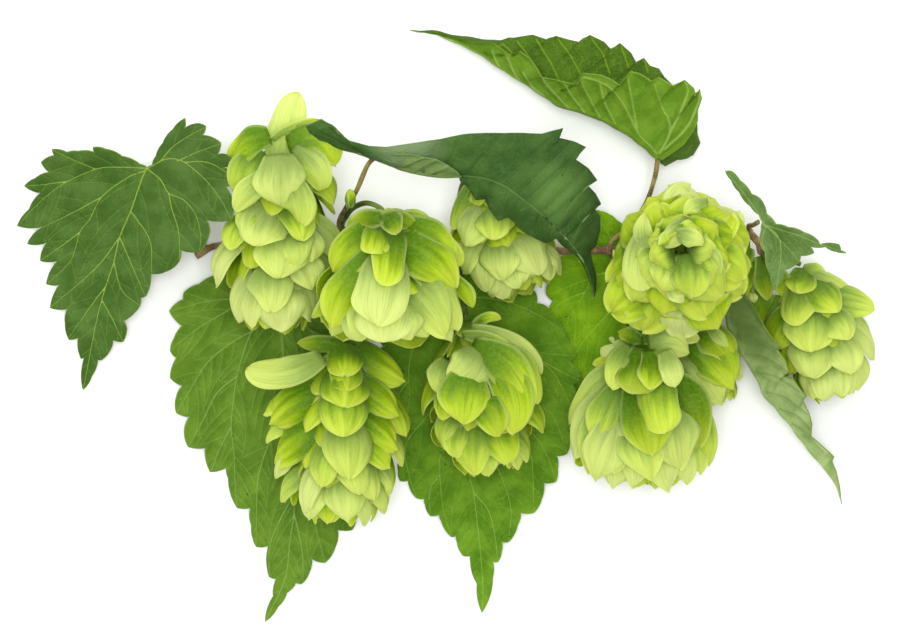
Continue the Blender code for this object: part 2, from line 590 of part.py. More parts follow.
CONE_STALKS = {
    "cone_tall_stalk": [(289, 231, 4.6), (292, 190, 4.0), (296, 150, 8), (293, 128, 17), (290, 131, 22)],
    "cone_broad_stalk": [(343, 222, 8.5), (352, 209, 19), (366, 203, 27), (380, 208, 28), (386, 218, 27.5)],
    "cone_under_leaf_stalk": [(457, 228, 3.4), (458, 205, 3.6), (463, 184, 8), (471, 180, 15)],
    "cone_low_left_stalk": [(342, 242, 4.2), (344, 280, 6), (346, 316, 14), (344, 336, 20)],
    "cone_low_middle_stalk": [(458, 252, 3.6), (461, 280, 6), (464, 305, 13), (466, 318, 18)],
    "cone_facing_stalk": [(682, 252, 5.6), (684, 262, 6), (683, 266, 8.6)],
    "cone_bell_stalk": [(609, 262, 7.6), (609, 290, 7), (618, 322, 14), (634, 339, 21)],
    "cone_behind_stalk": [(616, 258, 9.5), (640, 290, 4.5), (676, 308, 5), (691, 320, 8.6)],
    "cone_far_stalk": [(768, 255, 21), (784, 259, 18), (800, 264, 16)],
}

SHOOT = [(764, 262, 20), (758, 276, 18), (752, 292, 17)]
BUD_PLACE = (350, 199, 30)
BUD_LENGTH = 4.6 * MM
BUD_RADIUS = 1.35 * MM


def build_leaves(parts):
    open_leaf("leaf_left", LEFT_LEAF_OUTLINE, LEFT_LEAF_PEGS, LEFT_LEAF_MIDRIB, "dark_leaf", parts)
    open_leaf("leaf_low_left", LOW_LEFT_LEAF_OUTLINE, LOW_LEFT_LEAF_PEGS, LOW_LEFT_LEAF_MIDRIB, "mid_leaf", parts)
    open_leaf(
        "leaf_low_middle", LOW_MIDDLE_LEAF_OUTLINE, LOW_MIDDLE_LEAF_PEGS, LOW_MIDDLE_LEAF_MIDRIB, "mid_leaf", parts
    )
    open_leaf("leaf_behind", BEHIND_LEAF_OUTLINE, BEHIND_LEAF_PEGS, BEHIND_LEAF_MIDRIB, "mid_leaf", parts)
    open_leaf("leaf_small", SMALL_LEAF_OUTLINE, SMALL_LEAF_PEGS, SMALL_LEAF_MIDRIB, "dark_leaf", parts)
    folded_leaf("leaf_twisted", TWISTED_LEAF_ROWS, 0.8, "dark_leaf", parts)
    folded_leaf("leaf_top", TOP_LEAF_ROWS, 0.0, "mid_leaf", parts)
    folded_leaf("leaf_narrow", NARROW_LEAF_ROWS, 0.0, "dark_leaf", parts)


def build_cones(parts, cutters):
    made = {}
    for name, (base, tip, radius, tiers, turn) in CONES.items():
        made[name] = cone_form(name, base, tip, radius, tiers, turn, parts)
    for name, root, tip, width, rise in STANDING_BRACTS:
        stand_out(made[name], root, tip, width, rise, cutters)


def build_stems(parts):
    for name, places in BINE.items():
        tube(name, places, BINE_RADIUS, "bine", parts, swell=NODE_RADIUS)
    for name, places in LEAF_STALKS.items():
        tube(name, places, LEAF_STALK_RADIUS, "bine", parts)
    for name, places in CONE_STALKS.items():
        tube(name, places, CONE_STALK_RADIUS, "stalk", parts)
    tube("young_shoot", SHOOT, CONE_STALK_RADIUS, "stalk", parts)


def build_bud(parts):
    bm = bmesh.new()
    bmesh.ops.create_uvsphere(bm, u_segments=8, v_segments=6, radius=BUD_RADIUS)
    bmesh.ops.scale(bm, vec=(1, BUD_LENGTH / (2 * BUD_RADIUS), 1), verts=bm.verts)
    bmesh.ops.translate(bm, vec=seen(*BUD_PLACE), verts=bm.verts)
    add_mesh("bud", bm, "stalk", parts)


def main():
    clear_scene()
    parts = new_collection("hop_bine")
    cutters = new_collection("joined_bracts")
    build_leaves(parts)
    build_cones(parts, cutters)
    build_stems(parts)
    build_bud(parts)


main()
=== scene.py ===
"""The looks of a cut sprig of hop bine: veined leaves, papery cones and hairy stems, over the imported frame.

Metres, +Z up, in the frame of the CAD model. A place on the sprig is a pixel of the reference photograph,
900 pixels wide and 643 high, with a height above the table in millimetres. View turns it into metres.
"""

import logging
import math
from dataclasses import dataclass
from enum import Enum

import bpy
import numpy as np
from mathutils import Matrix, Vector, geometry, kdtree

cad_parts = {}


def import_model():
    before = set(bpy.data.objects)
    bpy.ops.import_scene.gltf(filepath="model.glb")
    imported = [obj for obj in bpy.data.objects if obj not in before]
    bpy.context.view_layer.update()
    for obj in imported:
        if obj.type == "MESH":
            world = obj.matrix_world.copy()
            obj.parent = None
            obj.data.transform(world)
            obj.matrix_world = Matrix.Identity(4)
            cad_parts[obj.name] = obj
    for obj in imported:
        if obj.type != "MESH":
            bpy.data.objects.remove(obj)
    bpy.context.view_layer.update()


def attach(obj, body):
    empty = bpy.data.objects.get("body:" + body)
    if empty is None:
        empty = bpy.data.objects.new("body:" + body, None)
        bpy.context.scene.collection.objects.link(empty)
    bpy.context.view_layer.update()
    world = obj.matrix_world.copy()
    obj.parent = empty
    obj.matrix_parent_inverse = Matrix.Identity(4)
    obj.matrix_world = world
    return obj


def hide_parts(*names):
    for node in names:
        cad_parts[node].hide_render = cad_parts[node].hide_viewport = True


MM = 0.001
SHEEN = 0.15
LOG = logging.getLogger("hop_bine")

# How much paler a cone's bracts get from its stalk to its tip
FALL = 0.5

# The furthest distance that a mark tells, and how far in from the margin a blade's relief grows, in pixels
MARK_REACH = 8.0
MARGIN_REACH = 5.0

# How far a tooth's sides bow out, as a share of their length
TOOTH_BOW = 0.30

# An open blade's mesh, in pixels: how far its shoulders lie from a main and from a side vein, how near its
# points may come to its margin, and the side of the cell that holds one point. The last is the height of its
# even triangles as a share of their sides
MAIN_SHOULDERS = (1.4, 3.0)
SIDE_SHOULDERS = (1.4,)
MARGIN_GAP = 0.8
CROWD_CELL = 0.9
EVEN_RISE = 0.866

# How much deeper than usual the puckers of open and of folded blades are
OPEN_SWELL = 2
FOLDED_SWELL = 1.6

# Share of a cone's radius that its core fills
CORE_SHARE = 0.46

# Share of a cone's axis where its first tier ends, and the shares of their radius to which the tiers draw in
# that close over the cone's end
FIRST_TIER = 0.2
CLOSING_TIERS = (0.2, 0.45, 0.7)

# The middle line of a bract that the photograph shows: the share of the radius at its root, and for its two
# middle points the share of the way to its tip, that of the radius, and that of the tip's own lift
SHOWN_ROOT = 0.40
SHOWN_MIDDLE = ((0.35, 0.98, 0.15), (0.72, 1.07, 0.6))

# A stem's mesh: how far apart its rings are, how many sides each has, its ridges' height as a share of its
# radius, how far they turn along it, in radians for each metre, and its hairs
STEM_STEP = 0.45 * MM
STEM_SIDES = 18
RIDGE_HEIGHT = 0.07
TWIST = 90.0
HAIR_LENGTH = 0.32 * MM
HAIR_RADIUS = 0.03 * MM

# How much a stem's radius changes along it, over what length, and how far a node swells it
GIRTH_CHANGE = 0.05
GIRTH_WAVE = 1.7 * MM
NODE_REACH = 1.6 * MM

Spot = tuple[float, float]
Place = tuple[float, float, float]
Color = tuple[float, float, float]


def put(name: str, data: bpy.types.ID) -> bpy.types.Object:
    """Puts a mesh, a lamp or a camera in the scene as an object.

    Args:
        name: The object's name.
        data: The mesh, lamp or camera.

    Returns:
        The object.
    """
    made = bpy.data.objects.new(name, data)
    bpy.context.scene.collection.objects.link(made)
    return made


@dataclass(frozen=True)
class View:
    """The camera of the photograph, which looks straight down on the table.

    Attributes:
        pixel: Width of one photograph pixel on the table.
        middle: The pixel straight under the camera.
        height: Height of the camera over the table.
        foot: The point of the table straight under the camera.
        lens: Focal length in millimetres.
        sensor: Sensor width in millimetres.
    """

    pixel: float = 0.25 * MM
    middle: Spot = (450, 321.5)
    height: float = 1250 * MM
    foot: Spot = (1.2 * MM, 1.1 * MM)
    lens: float = 200
    sensor: float = 36

    def points(self, places: np.ndarray) -> np.ndarray:
        """Turns photograph places into points.

        Args:
            places: Rows of pixel x, pixel y and height in millimetres.

        Returns:
            Rows of x, y and z in metres.
        """
        places = np.asarray(places, float).reshape(-1, 3)
        near = 1 - places[:, 2] * MM / self.height
        x = (places[:, 0] - self.middle[0]) * self.pixel * near + self.foot[0]
        y = (self.middle[1] - places[:, 1]) * self.pixel * near + self.foot[1]
        return np.column_stack([x, y, places[:, 2] * MM])

    def pixels(self, points: np.ndarray) -> np.ndarray:
        """Finds where the photograph shows points.

        Args:
            points: Rows of x, y and z in metres.

        Returns:
            Rows of pixel x and pixel y.
        """
        near = self.pixel * (1 - points[..., 2] / self.height)
        px = (points[..., 0] - self.foot[0]) / near + self.middle[0]
        py = self.middle[1] - (points[..., 1] - self.foot[1]) / near
        return np.stack([px, py], axis=-1)

    def set_camera(self) -> None:
        """Puts the camera over the sprig and makes it the scene's own."""
        data = bpy.data.cameras.new("camera")
        data.lens = self.lens
        data.sensor_width = self.sensor
        camera = put("camera", data)
        camera.location = (*self.foot, self.height)
        bpy.context.scene.camera = camera


VIEW = View()


class Side(Enum):
    """Which face of a leaf looks up at the camera."""

    UPPER = 1
    UNDER = -1


class NodeMaker:
    """Adds nodes to a tree."""

    def __init__(self, tree: bpy.types.NodeTree) -> None:
        """Takes the tree."""
        self.tree = tree

    def node(self, kind: str, feeds: dict[int | str, object], **settings: object) -> bpy.types.Node:
        """Adds a node.

        Args:
            kind: The node's type.
            feeds: A value or a socket for each input, by its name or its number.
            **settings: Values for the node's own properties.

        Returns:
            The node.
        """
        made = self.tree.nodes.new(kind)
        for key, value in settings.items():
            setattr(made, key, value)
        for key, value in feeds.items():
            self.feed(made.inputs[key], value)
        return made

    def feed(self, socket: bpy.types.NodeSocket, value: object) -> None:
        """Links a socket to an input, or sets the input's value.

        Args:
            socket: The input.
            value: A socket to link, or a value to set.
        """
        if isinstance(value, bpy.types.NodeSocket):
            self.tree.links.new(value, socket)
        elif isinstance(value, tuple) and socket.type == "RGBA":
            socket.default_value = (*value, 1)
        else:
            socket.default_value = value

    def math(self, operation: str, *numbers: object) -> bpy.types.NodeSocket:
        """One sum on up to three numbers."""
        return self.node("ShaderNodeMath", dict(enumerate(numbers)), operation=operation).outputs[0]


class Paint(NodeMaker):
    """One material's node tree, with short calls for the nodes that the finishes share."""

    def __init__(self, name: str) -> None:
        """Starts a material.

        Args:
            name: The material's name.
        """
        self.material = bpy.data.materials.new(name)
        self.material.use_nodes = True
        super().__init__(self.material.node_tree)
        self.shader = self.tree.nodes["Principled BSDF"]
        self.out = self.tree.nodes["Material Output"]

    def mix(self, share: object, first: object, second: object) -> bpy.types.NodeSocket:
        """A colour between two colours."""
        feeds = {0: share, 6: first, 7: second}
        return self.node("ShaderNodeMix", feeds, data_type="RGBA").outputs[2]

    def span(self, value: object, low: float, high: float, start: float = 0, end: float = 1) -> object:
        """Stretches a value from one span to another, smoothly."""
        feeds = {0: value, 1: low, 2: high, 3: start, 4: end}
        return self.node("ShaderNodeMapRange", feeds, interpolation_type="SMOOTHSTEP").outputs[0]

    def noise(self, vector: object, scale: float, detail: float = 3) -> bpy.types.NodeSocket:
        """Cloudy noise."""
        feeds = {"Vector": vector, "Scale": scale, "Detail": detail}
        return self.node("ShaderNodeTexNoise", feeds).outputs[0]

    def cells(self, vector: object, scale: float, width: float) -> bpy.types.NodeSocket:
        """A net of fine lines: 1 on a line and 0 inside a mesh of it.

        Args:
            vector: The map that the net lies on.
            scale: How fine it is.
            width: How wide its lines are.

        Returns:
            The net.
        """
        feeds = {"Vector": vector, "Scale": scale}
        found = self.node("ShaderNodeTexVoronoi", feeds, feature="DISTANCE_TO_EDGE")
        return self.span(found.outputs["Distance"], 0, width, 1, 0)

    def marks(self) -> tuple[bpy.types.NodeSocket, ...]:
        """The three marks that Skin keeps at each point.

        Returns:
            A socket for each mark.
        """
        found = self.node("ShaderNodeAttribute", {}, attribute_name="mark")
        split = self.node("ShaderNodeSeparateXYZ", {0: found.outputs["Vector"]})
        return split.outputs[0], split.outputs[1], split.outputs[2]

    def flat(self) -> bpy.types.NodeSocket:
        """The piece's own flat map."""
        return self.node("ShaderNodeUVMap", {}, uv_map="flat").outputs[0]

    def place(self) -> bpy.types.NodeSocket:
        """The place of each point in the piece's own space."""
        return self.node("ShaderNodeTexCoord", {}).outputs["Object"]

    def stretched(self, vector: object, scale: Place) -> bpy.types.NodeSocket:
        """A map pulled out by a factor each way."""
        return self.node("ShaderNodeMapping", {"Vector": vector, "Scale": scale}).outputs[0]

    def away(self, x: float, y: float) -> bpy.types.NodeSocket:
        """How far a place lies from a pixel, along the table.

        Args:
            x: The pixel's x.
            y: The pixel's y.

        Returns:
            The distance, in metres.
        """
        level = self.stretched(self.place(), (1.0, 1.0, 0.0))
        spot = tuple(float(v) for v in VIEW.points([(x, y, 0)])[0])
        return self.node("ShaderNodeVectorMath", {0: level, 1: spot}, operation="DISTANCE").outputs["Value"]

    def bump(self, height: object, strength: float, distance: float) -> bpy.types.NodeSocket:
        """A normal bent by a height."""
        feeds = {"Height": height, "Strength": strength, "Distance": distance}
        return self.node("ShaderNodeBump", feeds).outputs[0]

    def finish(
        self, color: object, bump: object, roughness: float, glow: object, share: float
    ) -> bpy.types.Material:
        """Ends the tree in a thin sheet that lets some light through.

        Args:
            color: The surface's colour.
            bump: The surface's normal.
            roughness: Its roughness.
            glow: The colour of the light that comes through.
            share: How much comes through.

        Returns:
            The material.
        """
        self.feed(self.shader.inputs["Base Color"], color)
        self.feed(self.shader.inputs["Normal"], bump)
        self.shader.inputs["Roughness"].default_value = roughness
        self.shader.inputs["Specular IOR Level"].default_value = SHEEN
        through = self.node("ShaderNodeBsdfTranslucent", {"Color": glow, "Normal": bump})
        both = self.node("ShaderNodeMixShader", {0: share, 1: self.shader.outputs[0], 2: through.outputs[0]})
        self.tree.links.new(both.outputs[0], self.out.inputs["Surface"])
        return self.material


@dataclass(frozen=True)
class LeafFinish:
    """A leaf's face: a blade of two greens, with thin paler veins and a faint net between them.

    Each of its zones is a darker or paler place, with the pixel of its middle, its reach in pixels and its
    colour.
    """

    name: str
    deep: Color
    light: Color
    vein: Color
    main_share: float = 0.75
    side_share: float = 0.35
    net_share: float = 0.10
    side_reach: float = 0.8
    roughness: float = 0.6
    relief: float = 0.26 * MM
    through: float = 0.16
    zones: tuple[tuple[float, float, float, Color], ...] = ()

    def build(self) -> bpy.types.Material:
        """Makes the material.

        Returns:
            The material.
        """
        paint = Paint(self.name)
        flat = paint.flat()
        main, side, rim = paint.marks()
        cloud = paint.span(paint.noise(flat, 0.16, 4), 0.35, 0.68)
        blade = paint.mix(cloud, self.deep, self.light)
        for x, y, reach, color in self.zones:
            share = paint.span(paint.away(x, y), 0.2 * reach * VIEW.pixel, reach * VIEW.pixel, 0.8, 0)
            blade = paint.mix(share, blade, color)
        wide = paint.cells(flat, 0.75, 0.09)
        fine = paint.cells(flat, 2.1, 0.12)
        net = paint.math("MAXIMUM", wide, paint.math("MULTIPLY", fine, 0.6))
        netted = paint.mix(paint.math("MULTIPLY", net, self.net_share), blade, self.vein)
        grain = paint.noise(flat, 4.5, 3)
        grained = paint.mix(paint.span(grain, 0.5, 0.85, 0, 0.16), netted, self.vein)
        # Painted shade: the blade darkens towards its deep green where the grain bump sinks
        grain_hollow_shade = paint.mix(paint.span(grain, 0.5, 0.2, 0, 0.35), grained, self.deep)
        main_line = paint.span(main, 0.25, 1.15, self.main_share, 0)
        side_line = paint.span(side, 0.1, self.side_reach, self.side_share, 0)
        veined = paint.mix(paint.math("MAXIMUM", main_line, side_line), grain_hollow_shade, self.vein)
        edged = paint.mix(paint.span(rim, 0.0, 0.8, 0.55, 0), veined, self.vein)
        wrinkle = paint.noise(flat, 1.3, 2)
        rough = paint.math("ADD", paint.math("MULTIPLY", grain, 0.9), paint.math("MULTIPLY", wrinkle, 1.6))
        height = paint.math("SUBTRACT", rough, paint.math("MULTIPLY", net, 0.6))
        bump = paint.bump(height, 0.6, self.relief)
        glow = paint.mix(0.5, edged, (0.35, 0.6, 0.02))
        return paint.finish(edged, bump, self.roughness, glow, self.through)


@dataclass(frozen=True)
class BractFinish:
    """A papery bract: green at its root, paler to its tip, with fine ribs along it. The green at its root is
    partly painted shade.
    """

    name: str = "bract_paper"
    # The root's colour is partly the bract's own deeper green and partly painted shade, where the bracts over
    # it cover its root
    root: Color = (0.13, 0.30, 0.001)
    body: Color = (0.57, 0.74, 0.003)
    tip: Color = (0.80, 0.88, 0.08)
    pale: Color = (0.86, 0.90, 0.38)
    deep: Color = (0.10, 0.23, 0.001)
    roughness: float = 0.5
    through: float = 0.55

    def build(self) -> bpy.types.Material:
        """Makes the material.

        Returns:
            The material.
        """
        paint = Paint(self.name)
        flat = paint.flat()
        along, tone, reach = paint.marks()
        place = paint.place()
        streaks = paint.noise(paint.stretched(flat, (1.5, 7.0, 1.0)), 1.0, 2)
        drift = paint.math("ADD", along, paint.span(streaks, 0.3, 0.7, -0.10, 0.10))
        # Partly painted shade: the sheet darkens to the root colour towards the root, under the bracts over
        # it
        low = paint.mix(paint.span(drift, 0.20, 0.82), self.root, self.body)
        sheet = paint.mix(paint.span(drift, 0.5, 1.0), low, self.tip)
        paler = paint.math("MULTIPLY", paint.span(tone, 0, 1), paint.span(drift, 0.1, 0.8, 0.5, 1))
        deeper = paint.math("MULTIPLY", paint.span(tone, -1, 0, 1, 0), paint.span(along, 0.3, 1, 1, 0.4))
        toned = paint.mix(deeper, paint.mix(paler, sheet, self.pale), self.deep)
        ribs = paint.noise(paint.stretched(flat, (1.6, 36.0, 1.0)), 1.0, 2)
        lined = paint.mix(paint.span(ribs, 0.48, 0.78, 0, 0.32), toned, self.root)
        # Pale specks on the raised crinkles: partly the bract's own mottling, partly painted highlights where
        # the crinkles catch the light
        crinkle = paint.noise(place, 1400, 4)
        mottle_and_highlights = paint.mix(paint.span(crinkle, 0.35, 0.8, 0, 0.14), lined, self.pale)
        # Pale margins: partly the bract's own thin papery rim, partly a painted highlight along its edges
        edged = paint.mix(paint.span(reach, 0.0, 1.0, 0.45, 0), mottle_and_highlights, self.pale)
        height = paint.math("ADD", ribs, crinkle)
        bump = paint.bump(height, 0.5, 0.16 * MM)
        glow = paint.mix(0.35, edged, (0.70, 0.90, 0.03))
        return paint.finish(edged, bump, self.roughness, glow, self.through)


@dataclass(frozen=True)
class StemFinish:
    """Ridged bark with long streaks, and pale hairs."""

    name: str
    dark: Color
    light: Color
    hair: Color = (0.72, 0.74, 0.62)
    grain_share: float = 0.35
    roughness: float = 0.6

    def build(self) -> bpy.types.Material:
        """Makes the material.

        Returns:
            The material.
        """
        paint = Paint(self.name)
        place = paint.place()
        cloud = paint.span(paint.noise(place, 220, 4), 0.38, 0.66)
        bark = paint.mix(cloud, self.dark, self.light)
        grain = paint.noise(place, 2600, 2)
        grained = paint.mix(paint.span(grain, 0.45, 0.75, 0, self.grain_share), bark, self.hair)
        hairs = paint.node("ShaderNodeAttribute", {}, attribute_name="hair").outputs["Fac"]
        colored = paint.mix(hairs, grained, self.hair)
        bump = paint.bump(grain, 0.4, 0.06 * MM)
        return paint.finish(colored, bump, self.roughness, colored, 0.08)


@dataclass(frozen=True)
class PlainFinish:
    """A matt surface of two near colours, for the table."""

    name: str
    color: Color
    other: Color
    roughness: float = 0.9

    def build(self) -> bpy.types.Material:
        """Makes the material.

        Returns:
            The material.
        """
        paint = Paint(self.name)
        place = paint.place()
        color = paint.mix(paint.span(paint.noise(place, 40, 3), 0.3, 0.7), self.color, self.other)
        paint.feed(paint.shader.inputs["Base Color"], color)
        paint.shader.inputs["Roughness"].default_value = self.roughness
        return paint.material


DARK_UPPER = LeafFinish(
    "dark_upper", (0.045, 0.115, 0.012), (0.085, 0.175, 0.030), (0.30, 0.44, 0.06), 0.9, 0.22, 0.06,
)
# The twisted leaf's second zone, by its stalk, is a painted sheen: a paler patch where its face catches the
# light
TWISTED_UPPER = LeafFinish(
    "twisted_upper", (0.028, 0.085, 0.012), (0.058, 0.135, 0.022), (0.20, 0.32, 0.09), 0.45, 0.14, 0.14,
    zones=((554, 196, 36, (0.125, 0.25, 0.05)), (408, 150, 48, (0.21, 0.29, 0.14))),
)
DARK_UNDER = LeafFinish("dark_under", (0.14, 0.23, 0.06), (0.21, 0.31, 0.09), (0.42, 0.52, 0.22))
MID_UPPER = LeafFinish("mid_upper", (0.085, 0.22, 0.003), (0.165, 0.34, 0.014), (0.34, 0.52, 0.09), 0.8, 0.24)
MID_UNDER = LeafFinish(
    "mid_under", (0.09, 0.20, 0.008), (0.145, 0.275, 0.018), (0.30, 0.45, 0.12), 0.65, 0.22,
)
TOP_UNDER = LeafFinish(
    "top_under", (0.105, 0.235, 0.006), (0.165, 0.31, 0.016), (0.40, 0.56, 0.14), 0.7, 0.5,
)
# Painted light: a paler copy of the mid green upper face, which keeps the leaf behind light under the shade
# of the cones and leaves over it
SHADE_LIFTED_UPPER = LeafFinish(
    "shade_lifted_upper", (0.14, 0.34, 0.002), (0.25, 0.48, 0.006), (0.42, 0.66, 0.06), 0.8, 0.3,
)
FAR_UPPER = LeafFinish(
    "far_upper", (0.035, 0.105, 0.002), (0.065, 0.155, 0.005), (0.28, 0.42, 0.03), 0.8, 0.5, 0.30,
)
SMALL_UPPER = LeafFinish(
    "small_upper", (0.10, 0.20, 0.04), (0.19, 0.31, 0.09), (0.42, 0.55, 0.16), 0.6, 0.15,
    zones=((778, 247, 30, (0.07, 0.145, 0.022)),),
)
NARROW_UNDER = LeafFinish(
    "narrow_under", (0.30, 0.44, 0.13), (0.46, 0.60, 0.22), (0.12, 0.20, 0.06), 0.0, 0.4,
    zones=((744, 321, 64, (0.10, 0.165, 0.03)),),
)
BRACT_PAPER = BractFinish()
BINE_BARK = StemFinish("bine_bark", (0.15, 0.075, 0.03), (0.33, 0.20, 0.085), grain_share=0.2)
PETIOLE_BARK = StemFinish("petiole_bark", (0.15, 0.095, 0.025), (0.34, 0.27, 0.08), grain_share=0.2)
STALK_BARK = StemFinish("stalk_bark", (0.06, 0.10, 0.010), (0.17, 0.24, 0.035), (0.50, 0.56, 0.32), 0.1)


class Finishes:
    """The sprig's materials, each made when it is first asked for."""

    made: dict[str, bpy.types.Material] = {}

    @classmethod
    def get(cls, finish: LeafFinish | BractFinish | StemFinish | PlainFinish) -> bpy.types.Material:
        """The material of a finish.

        Args:
            finish: The finish.

        Returns:
            Its material.
        """
        if finish.name not in cls.made:
            cls.made[finish.name] = finish.build()
        return cls.made[finish.name]


def unit(rows: np.ndarray) -> np.ndarray:
    """Rows made one long."""
    return rows / np.maximum(np.linalg.norm(rows, axis=-1, keepdims=True), 1e-12)


def lengths_along(line: np.ndarray) -> np.ndarray:
    """How far each point of a line lies from its first, along the line."""
    return np.concatenate([[0], np.cumsum(np.linalg.norm(np.diff(line, axis=0), axis=1))])


def closed(rim: np.ndarray) -> np.ndarray:
    """An outline with its first point again at its end."""
    return np.vstack([rim, rim[:1]])


class Skin:
    """Points, triangles and marks gathered for one piece."""

    def __init__(self) -> None:
        """Starts with nothing."""
        self.points: list[np.ndarray] = []
        self.flats: list[np.ndarray] = []
        self.marks: list[np.ndarray] = []
        self.faces: list[np.ndarray] = []
        self.slots: list[np.ndarray] = []
        self.count = 0

    def add(
        self, points: np.ndarray, faces: np.ndarray, flat: np.ndarray, marks: np.ndarray, slots: np.ndarray
    ) -> None:
        """Adds a mesh of triangles.

        Args:
            points: Rows of x, y and z.
            faces: Rows of three point numbers.
            flat: The flat map, a row for each point.
            marks: The three marks of each point.
            slots: The material slot of each triangle.
        """
        self.points.append(points)
        self.faces.append(faces + self.count)
        self.flats.append(flat)
        self.marks.append(marks)
        self.slots.append(slots)
        self.count += len(points)

    @staticmethod
    def normals(points: np.ndarray, faces: np.ndarray) -> np.ndarray:
        """The normal at each point of a mesh of triangles.

        Args:
            points: Rows of x, y and z.
            faces: Rows of three point numbers.

        Returns:
            A direction for each point.
        """
        corners = points[faces]
        flat = np.cross(corners[:, 1] - corners[:, 0], corners[:, 2] - corners[:, 0])
        found = np.zeros_like(points)
        for corner in range(3):
            np.add.at(found, faces[:, corner], flat)
        return unit(found)

    def shell(
        self,
        points: np.ndarray,
        faces: np.ndarray,
        flat: np.ndarray,
        marks: np.ndarray,
        thickness: float | np.ndarray,
        slots: tuple[int, int] = (0, 0),
    ) -> None:
        """Adds a thin closed sheet, half of its thickness on either side of an open one.

        Args:
            points: Rows of x, y and z of the open sheet.
            faces: Rows of three point numbers.
            flat: The flat map, a row for each point.
            marks: The three marks of each point.
            thickness: The sheet's thickness, for all of it or for each point.
            slots: The material slots of its first and its second face.
        """
        count = len(points)
        half = self.normals(points, faces) * (np.broadcast_to(thickness, count) / 2)[:, None]
        sides = np.vstack([faces[:, [0, 1]], faces[:, [1, 2]], faces[:, [2, 0]]])
        there = sides[:, 0].astype(np.int64) * count + sides[:, 1]
        back = sides[:, 1].astype(np.int64) * count + sides[:, 0]
        start, end = sides[~np.isin(there, back)].T
        wall = np.vstack([
            np.column_stack([end, start, start + count]),
            np.column_stack([end, start + count, end + count]),
        ])
        numbers = np.repeat([slots[0], slots[1], slots[0]], [len(faces), len(faces), len(wall)])
        both = np.vstack([faces, faces[:, ::-1] + count, wall])
        doubled = np.vstack([points + half, points - half])
        self.add(doubled, both, np.tile(flat, (2, 1)), np.tile(marks, (2, 1)), numbers)

    def piece(self, name: str, node: str, slot: str, finishes: tuple[object, ...]) -> bpy.types.Object:
        """Makes the gathered mesh an object that stands for a CAD node.

        Args:
            name: The object's name.
            node: The node that it replaces.
            slot: The name of its material slot. Not used.
            finishes: The finish of each material slot.

        Returns:
            The object.
        """
        faces = np.vstack(self.faces)
        mesh = bpy.data.meshes.new(name)
        mesh.from_pydata(np.vstack(self.points).tolist(), [], faces.tolist())
        flat = mesh.uv_layers.new(name="flat")
        flat.data.foreach_set("uv", np.vstack(self.flats)[faces.ravel()].ravel().astype(np.float32))
        mark = mesh.attributes.new("mark", "FLOAT_VECTOR", "POINT")
        mark.data.foreach_set("vector", np.vstack(self.marks).ravel().astype(np.float32))
        for finish in finishes:
            mesh.materials.append(Finishes.get(finish))
        mesh.polygons.foreach_set("material_index", np.concatenate(self.slots).astype(np.int32))
        mesh.shade_smooth()
        piece = put(name, mesh)
        settle(piece, node)
        return piece


def settle(piece: bpy.types.Object, node: str) -> None:
    """Makes a piece ride on the sprig's body in place of a CAD node, and reports it.

    Args:
        piece: The piece.
        node: The CAD node that it replaces.
    """
    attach(piece, "root")
    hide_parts(node)
    LOG.info("%s: %d faces", piece.name, len(piece.data.polygons))


def grid_faces(rows: int, columns: int) -> np.ndarray:
    """The triangles of a grid of points, in rows.

    Args:
        rows: How many rows the grid has.
        columns: How many points each row has.

    Returns:
        Rows of three point numbers.
    """
    corner = (np.arange(rows - 1)[:, None] * columns + np.arange(columns - 1)).ravel()
    first = np.column_stack([corner, corner + columns, corner + columns + 1])
    second = np.column_stack([corner, corner + columns + 1, corner + 1])
    return np.vstack([first, second])


def between(knots: tuple[np.ndarray, ...], t: np.ndarray) -> np.ndarray:
    """Points on a smooth curve through four knots, at shares of the way from the second to the third.

    Args:
        knots: The four knots, or four rows of knots.
        t: The shares, from 0 to 1.

    Returns:
        A point for each share.
    """
    a, b, c, d = knots
    bend = (2 * a - 5 * b + 4 * c - d) * t**2 + (3 * b - a - 3 * c + d) * t**3
    return 0.5 * (2 * b + (c - a) * t + bend)


def with_ends(route: np.ndarray) -> np.ndarray:
    """A route with one more point before its first and one after its last, each straight on."""
    return np.vstack([2 * route[0] - route[1], route, 2 * route[-1] - route[-2]])


def smooth(route: np.ndarray, step: float) -> np.ndarray:
    """A smooth line through points.

    Args:
        route: Rows of any number of coordinates.
        step: About how far apart the line's points are.

    Returns:
        The line's points.
    """
    route = np.asarray(route, float)
    ends = with_ends(route)
    made = []
    for knots in zip(ends, ends[1:], ends[2:], ends[3:]):
        count = max(1, round(float(np.linalg.norm(knots[2] - knots[1])) / step))
        made.append(between(knots, (np.arange(count) / count)[:, None]))
    made.append(route[-1:])
    return np.vstack(made)


class Lines:
    """Lines of pixels, close set, that know how far any pixel is from the nearest of them."""

    def __init__(self, lines: list[np.ndarray], step: float = 0.25) -> None:
        """Sets the lines.

        Args:
            lines: Rows of pixels, a line each.
            step: How far apart the spots along a line may be.
        """
        spots, shares, owners = [], [], []
        for number, line in enumerate(lines):
            reach = lengths_along(line)
            stops = np.linspace(0, reach[-1], max(2, math.ceil(reach[-1] / step)))
            spots.append(np.column_stack([np.interp(stops, reach, line[:, axis]) for axis in range(2)]))
            shares.append(stops / reach[-1])
            owners.append(np.full(len(stops), number))
        self.shares = np.concatenate(shares)
        self.owners = np.concatenate(owners)
        self.tree = kdtree.KDTree(len(self.shares))
        for index, spot in enumerate(np.vstack(spots).tolist()):
            self.tree.insert((*spot, 0.0), index)
        self.tree.balance()

    def near(self, points: np.ndarray) -> tuple[np.ndarray, np.ndarray]:
        """The distance from each point to the nearest line, and the number of the nearest spot."""
        found = [self.tree.find((*spot, 0.0)) for spot in points.tolist()]
        return np.array([row[2] for row in found]), np.array([row[1] for row in found])


